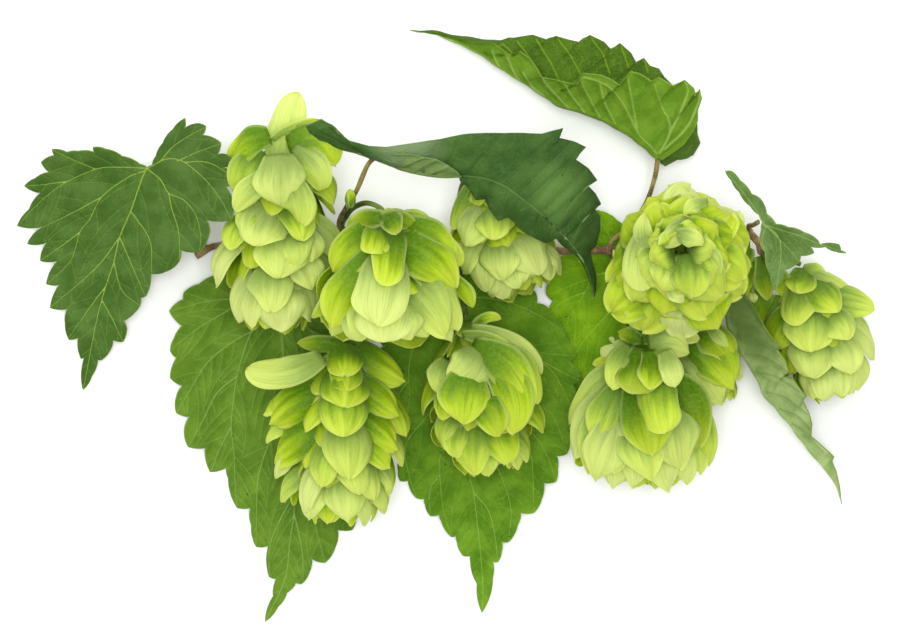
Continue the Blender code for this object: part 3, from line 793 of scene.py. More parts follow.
def inside(points: np.ndarray, outline: np.ndarray) -> np.ndarray:
    """Whether each point lies inside an outline.

    Args:
        points: Rows of pixel x and pixel y.
        outline: The outline's corners, in order.

    Returns:
        True for each point that lies inside.
    """
    x, y = points[:, 0:1], points[:, 1:2]
    ax, ay = outline.T
    bx, by = np.roll(outline, -1, axis=0).T
    rise = np.where(by == ay, 1e-9, by - ay)
    crossing = ((ay > y) != (by > y)) & (x < ax + (y - ay) * (bx - ax) / rise)
    return crossing.sum(axis=1) % 2 == 1


class HeightSheet:
    """A smooth height through pegs of pixel x, pixel y and height: a thin plate bent over them."""

    def __init__(self, pegs: list[Place]) -> None:
        """Bends the plate.

        Args:
            pegs: The places that it goes through, heights in millimetres.
        """
        rows = np.array(pegs, float)
        self.spots = rows[:, :2]
        count = len(rows)
        flat = np.column_stack([np.ones(count), self.spots])
        system = np.zeros((count + 3, count + 3))
        system[:count, :count] = self.bend(self.spots)
        system[:count, count:] = flat
        system[count:, :count] = flat.T
        self.weights = np.linalg.solve(system, np.concatenate([rows[:, 2], np.zeros(3)]))

    def bend(self, points: np.ndarray) -> np.ndarray:
        """How much each peg bends the plate at each point."""
        distance = np.linalg.norm(points[:, None] - self.spots[None], axis=2)
        return np.where(distance > 0, distance**2 * np.log(np.maximum(distance, 1e-9)), 0.0)

    def at(self, points: np.ndarray) -> np.ndarray:
        """The plate's height at each pixel."""
        flat = np.column_stack([np.ones(len(points)), points])
        return self.bend(points) @ self.weights[:-3] + flat @ self.weights[-3:]


@dataclass(frozen=True)
class Relief:
    """How a blade's veins and the puckers between them stand out, in millimetres and pixels."""

    main_depth: float = 0.26
    side_depth: float = 0.13
    main_width: float = 1.9
    side_width: float = 1.3
    pucker: float = 0.34
    pucker_reach: float = 7.0
    wave: float = 0.22
    thickness: float = 0.26 * MM
    lowest: float = 0.2

    def height(
        self, main_mark: np.ndarray, side: np.ndarray, fade: np.ndarray, pucker: np.ndarray, swell: float
    ) -> np.ndarray:
        """How far a blade's face stands out.

        Args:
            main_mark: How strongly each point is on a main vein.
            side: Its distance to the nearest side vein, in pixels.
            fade: How far the relief has grown in from the margin, from 0 to 1.
            pucker: How far each point stands between veins, from 0 to 1.
            swell: How much deeper than usual the puckers are.

        Returns:
            A height for each point, in millimetres.
        """
        side_mark = np.exp(-((side / self.side_width) ** 2))
        return self.pucker * swell * pucker - fade * (
            self.main_depth * main_mark + self.side_depth * side_mark * (1 - main_mark)
        )


RELIEF = Relief()


@dataclass(frozen=True)
class Branching:
    """How side veins leave a main vein.

    Attributes:
        first: Where the first one leaves on either side, as shares of the leaf's gap.
        lean: The least and the greatest angle to the main vein, in degrees.
        curl: How much it bends towards the main vein's tip at each step, in degrees.
        steps: The most steps that it takes.
        step: The length of a step, in pixels.
        apart: How near it may come to another vein, in pixels.
        spread: The least and the greatest distance to the next one, as shares of the leaf's gap.
    """

    first: tuple[float, float] = (1.15, 0.7)
    lean: tuple[float, float] = (34, 52)
    curl: float = 1.1
    steps: int = 34
    step: float = 2.2
    apart: float = 2.6
    spread: tuple[float, float] = (0.75, 1.45)


BRANCHING = Branching()


@dataclass
class OpenLeaf:
    """A leaf blade that lies open: its outline, a smooth sheet of heights and a net of veins.

    Attributes:
        node: The CAD node that it stands for.
        slot: The name of its material slot.
        outline: The margin, tooth by tooth, in pixels.
        pegs: Heights that the blade goes through.
        veins: Main veins from the stalk outward, the midrib first.
        shown: The face that looks up.
        upper: Finish of the upper face.
        under: Finish of the underside.
        gap: Distance between side veins, in pixels.
        spacing: Distance between the mesh's points, in pixels.
        seed: The start of its side veins' irregularities.
    """

    node: str
    slot: str
    outline: list[Spot]
    pegs: list[Place]
    veins: list[list[Spot]]
    shown: Side
    upper: LeafFinish
    under: LeafFinish
    gap: float = 12.0
    spacing: float = 2.2
    seed: int = 1

    def rim(self) -> np.ndarray:
        """The margin, each side of a tooth bowed outward a little.

        Returns:
            Rows of pixel x and pixel y, all the way round.
        """
        corners = np.array(self.outline, float)
        after = np.roll(corners, -1, axis=0)
        turn = np.sign(np.cross(corners, after).sum())
        made = []
        for start, end in zip(corners, after):
            along = end - start
            length = np.linalg.norm(along)
            out = np.array([along[1], -along[0]]) / length * turn
            count = max(1, round(length / self.spacing))
            for step in range(count):
                share = step / count
                made.append(start + along * share + out * length * TOOTH_BOW * share * (1 - share))
        return np.array(made)

    def side_veins(self, rim: np.ndarray, mains: list[np.ndarray]) -> list[np.ndarray]:
        """Side veins that leave each main vein in turn at both sides, and bend towards its tip.

        Args:
            rim: The margin.
            mains: The main veins.

        Returns:
            The side veins, as lines of pixels.
        """
        rng = np.random.default_rng(self.seed)
        margin = Lines([closed(rim)])
        found: list[np.ndarray] = []
        taken = np.vstack(mains)
        owner = np.repeat(np.arange(len(mains)), [len(line) for line in mains])
        for number, line in enumerate(mains):
            lengths = lengths_along(line)
            for turn_side, first in zip((-1, 1), BRANCHING.first):
                reach = self.gap * first
                while reach < lengths[-1] - 3:
                    index = int(np.searchsorted(lengths, reach))
                    heading = line[min(index + 1, len(line) - 1)] - line[index - 1]
                    lean = math.radians(rng.uniform(*BRANCHING.lean))
                    angle = math.atan2(heading[1], heading[0]) + turn_side * lean
                    spot = line[index].copy()
                    path = [spot]
                    for step in range(BRANCHING.steps):
                        angle -= turn_side * math.radians(BRANCHING.curl)
                        spot = spot + BRANCHING.step * np.array([math.cos(angle), math.sin(angle)])
                        near = np.linalg.norm(taken - spot, axis=1)
                        other = near[owner != number]
                        blocked = len(other) and other.min() < BRANCHING.apart
                        if step > 2 and near[owner == number].min() < BRANCHING.apart:
                            blocked = True
                        path.append(spot)
                        if blocked or not inside(spot[None], rim)[0]:
                            break
                    path_line = np.array(path)
                    within = inside(path_line, rim)
                    path_line = path_line[: max(1, int(within.argmin()) if not within.all() else len(within))]
                    if len(path_line) > 2 and margin.near(path_line[-1:])[0][0] < 1.0:
                        path_line = path_line[:-1]
                    if len(path_line) > 3:
                        found.append(path_line)
                        taken = np.vstack([taken, path_line[1:]])
                        owner = np.concatenate([owner, np.full(len(path_line) - 1, -len(found))])
                    reach += self.gap * rng.uniform(*BRANCHING.spread)
        return found

    def spots(self, rim: np.ndarray, mains: list[np.ndarray], sides: list[np.ndarray]) -> np.ndarray:
        """Points that fill the blade: shoulders beside the veins, then an even grid.

        Args:
            rim: The margin.
            mains: The main veins.
            sides: The side veins.

        Returns:
            Rows of pixel x and pixel y.
        """
        wanted = []
        for lines, offsets in ((mains, MAIN_SHOULDERS), (sides, SIDE_SHOULDERS)):
            for line in lines:
                heading = unit(np.gradient(line, axis=0))
                across = np.column_stack([-heading[:, 1], heading[:, 0]])
                for offset in offsets:
                    wanted += [line + across * offset, line - across * offset]
        low = rim.min(axis=0)
        high = rim.max(axis=0)
        rise = self.spacing * EVEN_RISE
        rows = np.arange(int((high[1] - low[1]) / rise) + 1)
        columns = np.arange(int((high[0] - low[0]) / self.spacing) + 2)
        x = low[0] + (columns[None] + 0.5 * (rows[:, None] % 2)) * self.spacing
        y = np.broadcast_to(low[1] + rows[:, None] * rise, x.shape)
        wanted.append(np.column_stack([x.ravel(), y.ravel()]))
        fixed = np.vstack([rim, *mains, *sides])
        crowd = {tuple(cell) for cell in np.floor(fixed / CROWD_CELL).astype(int)}
        chosen = []
        for spot in np.vstack(wanted):
            cell = (math.floor(spot[0] / CROWD_CELL), math.floor(spot[1] / CROWD_CELL))
            if cell not in crowd:
                crowd.add(cell)
                chosen.append(spot)
        chosen = np.array(chosen)
        chosen = chosen[inside(chosen, rim)]
        return chosen[Lines([closed(rim)]).near(chosen)[0] > MARGIN_GAP]

    def build(self) -> bpy.types.Object:
        """Makes the blade.

        Returns:
            The blade, as a closed mesh.
        """
        rim = self.rim()
        mains = [smooth(np.array(vein), self.spacing) for vein in self.veins]
        sides = self.side_veins(rim, mains)
        everything = np.vstack([rim, *mains, *sides, self.spots(rim, mains, sides)])
        ribs = []
        start = len(rim)
        for line in mains + sides:
            ribs += [(start + step, start + step + 1) for step in range(len(line) - 1)]
            start += len(line)
        flat, _, faces, *_ = geometry.delaunay_2d_cdt(
            [Vector(spot) for spot in everything.tolist()], ribs, [list(range(len(rim)))], 1, 1e-4
        )
        flat = np.array([tuple(spot) for spot in flat])
        faces = np.array(faces)
        corners = flat[faces]
        area = np.cross(corners[:, 1] - corners[:, 0], corners[:, 2] - corners[:, 0])
        # Pixels count downward, so a triangle that turns right in pixels looks up in space
        faces[area > 0] = faces[area > 0][:, ::-1]
        return self.dress(flat, faces, rim, mains, sides)

    def dress(
        self,
        flat: np.ndarray,
        faces: np.ndarray,
        rim: np.ndarray,
        mains: list[np.ndarray],
        sides: list[np.ndarray],
    ) -> bpy.types.Object:
        """Gives the flat mesh its heights, its veins and its thickness.

        Args:
            flat: Rows of pixel x and pixel y.
            faces: Its triangles, facing up.
            rim: The margin.
            mains: The main veins.
            sides: The side veins.

        Returns:
            The finished blade.
        """
        veins = Lines(mains)
        away, which = veins.near(flat)
        weight = (1 - 0.6 * veins.shares[which]) * np.where(veins.owners[which] == 0, 1.0, 0.8)
        side_away, _ = Lines(sides).near(flat)
        rim_away, _ = Lines([closed(rim)]).near(flat)
        main_mark = weight * np.exp(-((away / RELIEF.main_width) ** 2))
        fade = np.clip(rim_away / MARGIN_REACH, 0, 1)
        closest = np.minimum(away, side_away)
        pucker = (1 - np.exp(-((closest / RELIEF.pucker_reach) ** 2))) * fade
        relief = RELIEF.height(main_mark, side_away, fade, pucker, OPEN_SWELL)
        x, y = flat.T
        wave = np.sin(x / 7.3 + self.seed) * np.sin(y / 8.9 + 2 * self.seed) + 0.6 * np.sin((x + y) / 4.7)
        height = HeightSheet(self.pegs).at(flat) + self.shown.value * relief + RELIEF.wave * wave * 0.5
        height = np.maximum(height, RELIEF.lowest)
        points = VIEW.points(np.column_stack([flat, height]))
        marks = np.minimum(np.column_stack([away / weight, side_away, rim_away]), MARK_REACH)
        skin = Skin()
        slots = (0, 1) if self.shown is Side.UPPER else (1, 0)
        skin.shell(points, faces, flat * VIEW.pixel / MM, marks, RELIEF.thickness, slots)
        return skin.piece(self.node + "_blade", self.node, self.slot, (self.upper, self.under))


@dataclass
class FoldedLeaf:
    """A folded or twisted blade, ruled from its midrib to a margin at either side.

    Attributes:
        node: The CAD node that it stands for.
        slot: The name of its material slot.
        rows: Midrib place, first margin place and second margin place, from the stalk to the tip.
        belly: How far each half arches, in millimetres.
        shown: The face of the first half that looks up.
        upper: Finish of the upper face.
        under: Finish of the underside.
        veins: Side veins of the first half and of the second. Where there are none, they run to the teeth.
        steps: Rows of the mesh between two rows of the table.
        across: Points of the mesh across each half.
        vein_half: Half of a side vein's width, in pixels.
    """

    node: str
    slot: str
    rows: list[tuple[Place, Place, Place]]
    belly: float
    shown: Side
    upper: LeafFinish
    under: LeafFinish
    veins: tuple[list[list[Spot]], ...] = ()
    steps: int = 6
    across: int = 26
    vein_half: float = 0.55

    def build(self) -> bpy.types.Object:
        """Makes the blade.

        Returns:
            The blade, as a closed mesh.
        """
        rows = np.array(self.rows, float)
        count = (len(rows) - 1) * self.steps + 1
        reach = np.arange(count) / self.steps
        knots = np.arange(len(rows))
        ribs = self.eased(rows[:, 0], reach)
        halves = []
        marks = []
        for side in (1, 2):
            edges = np.column_stack([np.interp(reach, knots, rows[:, side, axis]) for axis in range(3)])
            breadth = np.linalg.norm(rows[:, side, :2] - rows[:, 0, :2], axis=1)
            padded = np.concatenate([breadth[:1], breadth, breadth[-1:]])
            around = (padded[:-2] + padded[2:]) / 2
            teeth = knots[(breadth > around) & (breadth > 3)]
            share = np.linspace(0, 1, self.across)
            bow = self.belly * 4 * share * (1 - share)
            places = ribs[:, None] + (edges - ribs)[:, None] * share[None, :, None]
            places[..., 2] += bow
            halves.append(places)
            marks.append(self.net(reach, teeth, places, side - 1))
        places = np.concatenate([halves[0][:, :0:-1], halves[1]], axis=1)
        relief = np.concatenate([marks[0][:, :0:-1], marks[1]], axis=1)
        return self.dress(places, relief)

    @staticmethod
    def eased(ribs: np.ndarray, reach: np.ndarray) -> np.ndarray:
        """The midrib read at fractions of its rows, along a smooth curve.

        Args:
            ribs: The midrib's own points.
            reach: Where to read it, in rows from its start.

        Returns:
            A point for each of them.
        """
        ends = with_ends(ribs)
        row = np.minimum(reach.astype(int), len(ribs) - 2)
        return between(tuple(ends[row + step] for step in range(4)), (reach - row)[:, None])

    def net(self, reach: np.ndarray, teeth: np.ndarray, places: np.ndarray, half: int) -> np.ndarray:
        """How strongly each point of one half is on the midrib, on a side vein and near the margin.

        Args:
            reach: Each row's place between the leaf's own rows.
            teeth: The rows that run to a tooth.
            places: The half's points.
            half: 0 for the first half and 1 for the second.

        Returns:
            Distance to the midrib, to the nearest side vein and to the margin, in pixels.
        """
        flat = places[..., :2]
        spread = np.linalg.norm(np.gradient(flat, axis=0), axis=2) * self.steps
        away = np.abs(reach[:, None] - teeth[None]).min(axis=1)[:, None] * np.maximum(spread, 0.2)
        width = np.linalg.norm(flat[:, -1] - flat[:, 0], axis=1)[:, None]
        share = np.linspace(0, 1, self.across)[None]
        rib = share * width
        if half < len(self.veins):
            lines = Lines([smooth(np.array(vein), 2.0) for vein in self.veins[half]])
            away = np.maximum(lines.near(flat.reshape(-1, 2))[0].reshape(rib.shape) - self.vein_half, 0)
        return np.stack([rib, away + 0 * rib, (1 - share) * width], axis=2)

    def dress(self, places: np.ndarray, away: np.ndarray) -> bpy.types.Object:
        """Gives the ruled sheet its veins and its thickness.

        Args:
            places: Rows and columns of photograph places.
            away: Distances to the midrib, the side veins and the margin.

        Returns:
            The finished blade.
        """
        rows, columns = places.shape[:2]
        points = VIEW.points(places.reshape(-1, 3))
        faces = grid_faces(rows, columns)
        normals = Skin.normals(points, faces)
        first = normals.reshape(rows, columns, 3)[:, : columns // 2, 2].mean()
        if first * self.shown.value < 0:
            faces = faces[:, ::-1]
            normals = -normals
        rib, side, rim = (away[..., axis].ravel() for axis in range(3))
        main_mark = np.exp(-((rib / RELIEF.main_width) ** 2))
        fade = np.clip(rim / MARGIN_REACH, 0, 1)
        pucker = (1 - np.exp(-((np.minimum(rib, side) / 5.0) ** 2))) * fade
        relief = RELIEF.height(main_mark, side, fade, pucker, FOLDED_SWELL)
        x, y = places[..., 0].ravel(), places[..., 1].ravel()
        wave = RELIEF.wave * np.sin(x / 6.1) * np.sin(y / 5.3 + 1) * fade
        points = points + normals * ((relief + wave) * MM)[:, None]
        points[:, 2] = np.maximum(points[:, 2], RELIEF.lowest * MM)
        marks = np.minimum(np.column_stack([rib, side, rim]), MARK_REACH)
        down = np.repeat(np.arange(rows) * 0.55 * 0.9, columns)
        flat = np.column_stack([down, self.unrolled(points, rows, columns)])
        skin = Skin()
        skin.shell(points, faces, flat, marks, RELIEF.thickness, (0, 1))
        return skin.piece(self.node + "_blade", self.node, self.slot, (self.upper, self.under))

    @staticmethod
    def unrolled(points: np.ndarray, rows: int, columns: int) -> np.ndarray:
        """The distance of each point from the midrib along its row, in millimetres.

        Args:
            points: The blade's points, row after row.
            rows: How many rows there are.
            columns: How many points each row has.

        Returns:
            A distance for each point.
        """
        grid = points.reshape(rows, columns, 3)
        steps = np.linalg.norm(np.diff(grid, axis=1), axis=2)
        reach = np.concatenate([np.zeros((rows, 1)), np.cumsum(steps, axis=1)], axis=1)
        return (reach - reach[:, columns // 2][:, None]).ravel() / MM


@dataclass(frozen=True)
class BractCut:
    """How a cone's bracts are cut, pleated and cupped.

    Attributes:
        rows: Points along a bract.
        columns: Points across it.
        cup: How far its sides turn in where it is widest, in radians.
        point: How pointed its tip is, from 0 for round to 1, and below 0 for square.
        pleat: Depth of its lengthwise pleats, in millimetres.
        wave: How far its margin waves, in millimetres.
        keel: Height of the soft ridge along its middle, in millimetres.
        roll: How far it may turn about its own length, in radians.
        ragged: How uneven its outline is, as a share of its width.
        thickness: Its thickness.
    """

    rows: int = 21
    columns: int = 14
    cup: float = 0.5
    point: float = 0.35
    pleat: float = 0.19
    wave: float = 0.5
    keel: float = 0.35
    roll: float = 0.26
    ragged: float = 0.07
    thickness: float = 0.13 * MM


SHOWN_CUT = BractCut()
FLAT_CUT = BractCut(cup=0.3, keel=0.15, point=0.3, pleat=0.24, wave=0.75, ragged=0.12)
POINTED_CUT = BractCut(cup=0.32, keel=0.2, point=0.85, pleat=0.24, wave=0.8, ragged=0.14)
ROUND_CUT = BractCut(cup=0.35, keel=0.1, point=0.0, pleat=0.24, wave=0.8, ragged=0.09)
SQUARE_CUT = BractCut(cup=0.4, keel=0.1, point=-0.25, wave=0.6, ragged=0.1)
KEELED_CUT = BractCut(cup=0.75, keel=0.7, point=0.45)
BLUNT_CUT = BractCut(cup=0.5, point=0.0, ragged=0.04)
INNER_CUT = BractCut(rows=11, columns=9, cup=0.8, pleat=0.05, wave=0.3)
BUD_CUT = BractCut(cup=1.5, point=0.6, wave=0.05, thickness=0.3 * MM)


@dataclass
class Bract:
    """One papery bract: a thin pleated sheet round a curved middle line.

    Attributes:
        control: The four control points of its middle line, from root to tip.
        outward: Which way its outer face looks, for all of it or for each row.
        width: Its greatest width.
        tone: From -1 for dark green, over 0, to 1 for almost white.
        cut: How it is cut and cupped.
    """

    control: np.ndarray
    outward: np.ndarray
    width: float
    tone: float = 0.0
    cut: BractCut = SHOWN_CUT

    def line(self) -> np.ndarray:
        """The middle line, closer set towards the tip.

        Returns:
            A point for each row.
        """
        t = self.shares()[:, None]
        a, b, c, d = self.control
        return a * (1 - t) ** 3 + 3 * b * t * (1 - t) ** 2 + 3 * c * t**2 * (1 - t) + d * t**3

    def shares(self) -> np.ndarray:
        """How far along the bract each row of points lies."""
        return 1 - (1 - np.linspace(0, 1, self.cut.rows)) ** 1.5

    def breadth(self, share: np.ndarray) -> np.ndarray:
        """The width at each row, as a share of the greatest.

        Args:
            share: How far along the bract each row is.

        Returns:
            A share for each row.
        """
        foot = 0.55 + 0.45 * np.sin(np.clip(share / 0.5, 0, 1) * math.pi / 2)
        slender = self.width / float(np.linalg.norm(self.control[-1] - self.control[0]))
        taper = min(0.58, slender * (0.6 + 1.5 * max(self.cut.point, 0.0)))
        last = np.clip((share - 1 + taper) / taper, 0, 1)
        blunt = np.sqrt(1 - last**2)
        sharp = (1 - last) * (1 + 0.9 * last)
        return np.maximum(foot * (blunt * (1 - self.cut.point) + sharp * self.cut.point), 0.03)

    def margins(self, share: np.ndarray, side: np.ndarray, rng: np.random.Generator) -> np.ndarray:
        """How much wider or narrower each point lies than on an even outline, at either side its own way.

        Args:
            share: How far along the bract each row is.
            side: How far to the side each column is, from -1 to 1.
            rng: The source of its irregularities.

        Returns:
            A factor for each row and column.
        """
        spin, pitch = rng.uniform(0, 2 * math.pi, 4), rng.uniform(3, 9, 4)
        waves = np.sin(pitch[:, None] * share[None] + spin[:, None])
        left, right = waves[0] + 0.5 * waves[1], waves[2] + 0.5 * waves[3]
        uneven = np.where(side[None] < 0, left[:, None], right[:, None])
        return 1 + self.cut.ragged * uneven * np.abs(side[None])

    def crumple(self, share: np.ndarray, side: np.ndarray, rng: np.random.Generator) -> np.ndarray:
        """How far each point stands off the smooth sheet, in millimetres.

        Args:
            share: How far along the bract each row is.
            side: How far to the side each column is, from -1 to 1.
            rng: The source of its irregularities.

        Returns:
            A height for each row and column.
        """
        along, across = share[:, None], side[None]
        spin = rng.uniform(0, 2 * math.pi, 5)
        body = np.sin(math.pi * np.clip(along, 0.02, 1)) ** 0.6
        pleats = np.sin(across * rng.uniform(4.5, 7.5) + spin[0] + 1.2 * along)
        pleats = pleats + 0.5 * np.sin(across * rng.uniform(10, 14) + spin[1])
        folds = np.sin(along * rng.uniform(5, 8) + across * rng.uniform(-2.5, 2.5) + spin[2])
        margin = np.sin(spin[3] + rng.uniform(6, 10) * along) * np.clip(across, 0, 1) ** 2
        margin = margin + np.sin(spin[4] + rng.uniform(6, 10) * along) * np.clip(-across, 0, 1) ** 2
        crease = np.exp(-((across / 0.38) ** 2)) * (0.3 + 0.7 * along)
        cut = self.cut
        sheet = body * (cut.pleat * pleats + 0.5 * cut.wave * folds)
        return sheet + along * cut.wave * margin + cut.keel * crease

    def lay(self, skin: Skin, rng: np.random.Generator) -> None:
        """Adds the bract to a piece.

        Args:
            skin: The piece being gathered.
            rng: The source of its small irregularities.
        """
        share = self.shares()
        line = self.line()
        tangent = unit(np.gradient(line, axis=0))
        outward = np.broadcast_to(self.outward, line.shape)
        normal = unit(outward - (outward * tangent).sum(axis=1, keepdims=True) * tangent)
        across = np.cross(normal, tangent)
        roll = rng.uniform(-1, 1) * self.cut.roll * np.sqrt(share)[:, None]
        cosine, sine = np.cos(roll), np.sin(roll)
        normal, across = normal * cosine + across * sine, across * cosine - normal * sine
        side = np.linspace(-1, 1, self.cut.columns)
        half = self.width / 2 * self.breadth(share)
        bend = self.cut.cup / (self.width / 2)
        angle = bend * half[:, None] * side[None] * self.margins(share, side, rng)
        rise = self.crumple(share, side, rng) * MM * (self.width / (10 * MM)) - (1 - np.cos(angle)) / bend
        sideways = across[:, None] * (np.sin(angle) / bend)[..., None]
        points = line[:, None] + sideways + normal[:, None] * rise[..., None]
        flat = np.stack(np.broadcast_arrays(share[:, None], side[None] * 0.5 + 0.5), axis=-1)
        flat = flat + np.array([rng.integers(0, 40), 0])
        to_tip = np.linalg.norm(line[-1] - line, axis=1)[:, None]
        reach = np.minimum(half[:, None] * (1 - np.abs(side[None])), to_tip)
        along = np.broadcast_to(share[:, None], reach.shape)
        marks = np.stack([along, np.full_like(reach, self.tone), reach / MM], axis=-1)
        faces = grid_faces(self.cut.rows, self.cut.columns)
        flat, marks = flat.reshape(-1, 2), marks.reshape(-1, 3)
        skin.shell(points.reshape(-1, 3), faces, flat, marks, self.cut.thickness)


@dataclass(frozen=True)
class FreeBract:
    """A listed bract, laid where the photograph shows its root and its tip.

    Attributes:
        root: Where it starts.
        tip: Where it ends.
        width: Its greatest width, in pixels.
        tone: From -1 for dark green, over 0, to 1 for almost white.
        bulge: How far its middle stands up between root and tip, in millimetres.
        bend: How far its middle stands off to the right of its way, in pixels.
        turn: How far its face turns from the camera about its length, in degrees: 90 is edge on.
        cut: How it is cut and cupped.
    """

    root: Place
    tip: Place
    width: float
    tone: float = 0.0
    bulge: float = 2.5
    bend: float = 0.0
    turn: float = 0.0
    cut: BractCut = FLAT_CUT

    @classmethod
    def read(cls, row: tuple) -> "FreeBract":
        """A bract from a table's row, whose last item may be its cut, after any number of the others.

        Args:
            row: The row.

        Returns:
            The bract.
        """
        if isinstance(row[-1], BractCut):
            return cls(*row[:-1], cut=row[-1])
        return cls(*row)

    def lay(self, skin: Skin, rng: np.random.Generator) -> None:
        """Adds the bract to a piece.

        Args:
            skin: The piece being gathered.
            rng: The source of its small irregularities.
        """
        root, tip = np.array(self.root, float), np.array(self.tip, float)
        way = unit(tip[:2] - root[:2])
        off = np.array([-way[1] * self.bend, way[0] * self.bend, self.bulge]) * 4 / 3
        control = VIEW.points([root, root + (tip - root) * 0.33 + off, root + (tip - root) * 0.7 + off, tip])
        across = unit(np.cross(control[-1] - control[0], [0, 0, 1.0]))
        turn = math.radians(self.turn)
        outward = np.array([0, 0, 1.0]) * math.cos(turn) + across * math.sin(turn)
        Bract(control, outward, self.width * VIEW.pixel, self.tone, self.cut).lay(skin, rng)


@dataclass
class Cone:
    """A cone: an axis with tiers of bracts all round, and over them the bracts that the photograph shows.

    Attributes:
        node: The CAD node that it stands for.
        base: Where its stalk meets it.
        tip: The far end of its axis.
        radius: Its greatest radius, in millimetres.
        tiers: Its radius at each tier, as shares of the greatest.
        turn: How far its tiers are turned round the axis.
        shown: Bracts by their tip's pixel, width and length in pixels, direction in degrees (0 is down the
            photograph and 90 to its right), lift of the tip in millimetres, and tone.
        free: Listed bracts, each a row of a FreeBract's values.
        cut: How its bracts are cut.
        shade: How much paler its bracts are than their tones say.
        tuck: Share of the radius to which the tiers reach on the camera's side.
        last_ring: Share of the axis to which the last tier reaches.
        rings: How many tiers go all round it.
        ring_bracts: How many bracts each of them has.
        seed: The start of its irregularities.
    """

    node: str
    base: Place
    tip: Place
    radius: float
    tiers: tuple[float, ...]
    turn: float
    shown: list[tuple[float, ...]]
    free: tuple[tuple, ...] = ()
    cut: BractCut = SHOWN_CUT
    shade: float = 0.0
    tuck: float = 0.74
    last_ring: float = 1.02
    rings: int = 9
    ring_bracts: int = 6
    seed: int = 5

    def __post_init__(self) -> None:
        """Works out the axis and a table of where the photograph shows the cone's surface."""
        self.low, high = VIEW.points([self.base, self.tip])
        self.length = float(np.linalg.norm(high - self.low))
        self.axis = (high - self.low) / self.length
        upright = np.array([0, 0, 1.0]) if abs(self.axis[2]) < 0.9 else np.array([0, 1.0, 0])
        self.up = unit(upright - self.axis * (upright @ self.axis))
        self.side = np.cross(self.axis, self.up)
        self.rng = np.random.default_rng(self.seed)
        round_it = np.linspace(-math.pi, math.pi, 145)
        reach, angle = np.meshgrid(np.linspace(0, 1.06, 90), round_it, indexing="ij")
        slope = np.gradient(self.girth(reach[:, 0]), reach[:, 0])[:, None, None] / self.length
        facing = unit(self.radial(angle) - self.axis * slope)
        seen = facing[..., 2] > -0.05
        self.table_pixels = VIEW.pixels(self.surface(reach, angle))[seen]
        self.table = np.column_stack([reach[seen], angle[seen]])

    def girth(self, reach: np.ndarray | float) -> np.ndarray:
        """The radius at a share of the axis."""
        knots = [-0.05, *((tier + 1) / len(self.tiers) for tier in range(len(self.tiers))), 1.1]
        return self.radius * MM * np.interp(reach, knots, [0.2, *self.tiers, 0.1])

    def radial(self, angle: np.ndarray | float) -> np.ndarray:
        """The direction out of the axis at an angle round it, 0 being up."""
        return np.cos(angle)[..., None] * self.up + np.sin(angle)[..., None] * self.side

    def surface(self, reach: np.ndarray | float, angle: np.ndarray | float, share: float = 1.0) -> np.ndarray:
        """A point at a share of the radius, at a share of the axis and an angle round it.

        Args:
            reach: The share of the axis.
            angle: The angle, 0 being up.
            share: The share of the radius.

        Returns:
            The point, in metres.
        """
        reach, angle = np.asarray(reach, float), np.asarray(angle, float)
        return self.low + self.axis * (reach * self.length)[..., None] + self.radial(angle) * (
            self.girth(reach) * share
        )[..., None]

    def find(self, px: float, py: float) -> tuple[float, float]:
        """The share of the axis and the angle at which the photograph shows the cone at a pixel."""
        away = np.linalg.norm(self.table_pixels - (px, py), axis=1)
        return tuple(self.table[away.argmin()])

    def outward(self, line: np.ndarray, view_share: float) -> np.ndarray:
        """Which way the outer face looks at points of a bract's middle line.

        Args:
            line: The points.
            view_share: How far the face turns up to the camera.

        Returns:
            A direction for each point.
        """
        reach = (line - self.low) @ self.axis
        radial = unit(line - self.low - reach[:, None] * self.axis)
        tangent = unit(np.gradient(line, axis=0))
        along = (radial * tangent).sum(axis=1, keepdims=True) ** 2
        return radial + np.array([0, 0, 1.0]) * (view_share + 0.7 * along * (view_share > 0))

    def placed(self, skin: Skin, entry: tuple[float, ...]) -> None:
        """Adds a bract that the photograph shows.

        Args:
            skin: The piece being gathered.
            entry: Its row of the cone's table.
        """
        px, py, width, length, direction, lift, tone = entry
        heading = np.array([math.sin(math.radians(direction)), math.cos(math.radians(direction))])
        root = np.array([px, py]) - length * heading
        (far, far_angle), (near, near_angle) = self.find(px, py), self.find(*root)
        turn = (far_angle - near_angle + math.pi) % (2 * math.pi) - math.pi
        skin_point = self.surface(far, far_angle)
        height = skin_point[2] / MM + lift * max(0.25, float(self.radial(np.asarray(far_angle))[2]))
        end = VIEW.points([[px, py, max(height, 1.0)]])[0]
        apart = end - skin_point
        middle = [
            self.surface(near + (far - near) * way, near_angle + turn * way, share) + apart * lifted
            for way, share, lifted in SHOWN_MIDDLE
        ]
        control = np.array([self.surface(near, near_angle, SHOWN_ROOT), *middle, end])
        tone = min(1.0, tone + self.shade + FALL * (far - 0.5))
        bract = Bract(control, self.up, width * VIEW.pixel, tone, self.cut)
        bract.outward = self.outward(bract.line(), 0.35)
        bract.lay(skin, self.rng)

    def ring(self, skin: Skin, number: int, close: float = 1.0) -> None:
        """Adds one tier of bracts round the axis, tucked in where the photograph's own lie over it.

        Args:
            skin: The piece being gathered.
            number: The tier, from 0 at the stalk.
            close: Share of its radius to which the tier closes over the cone's end.
        """
        reach = FIRST_TIER + (self.last_ring - FIRST_TIER) * number / (self.rings - 1) - 0.09 * (1 - close)
        for step in range(self.ring_bracts):
            angle = self.turn + (step + 0.5 * (number % 2)) * 2 * math.pi / self.ring_bracts
            angle += float(self.rng.uniform(-0.15, 0.15))
            share = self.tuck if math.cos(angle) > -0.1 or abs(self.axis[2]) > 0.9 else 1.0
            end = reach + float(self.rng.uniform(-0.02, 0.02))
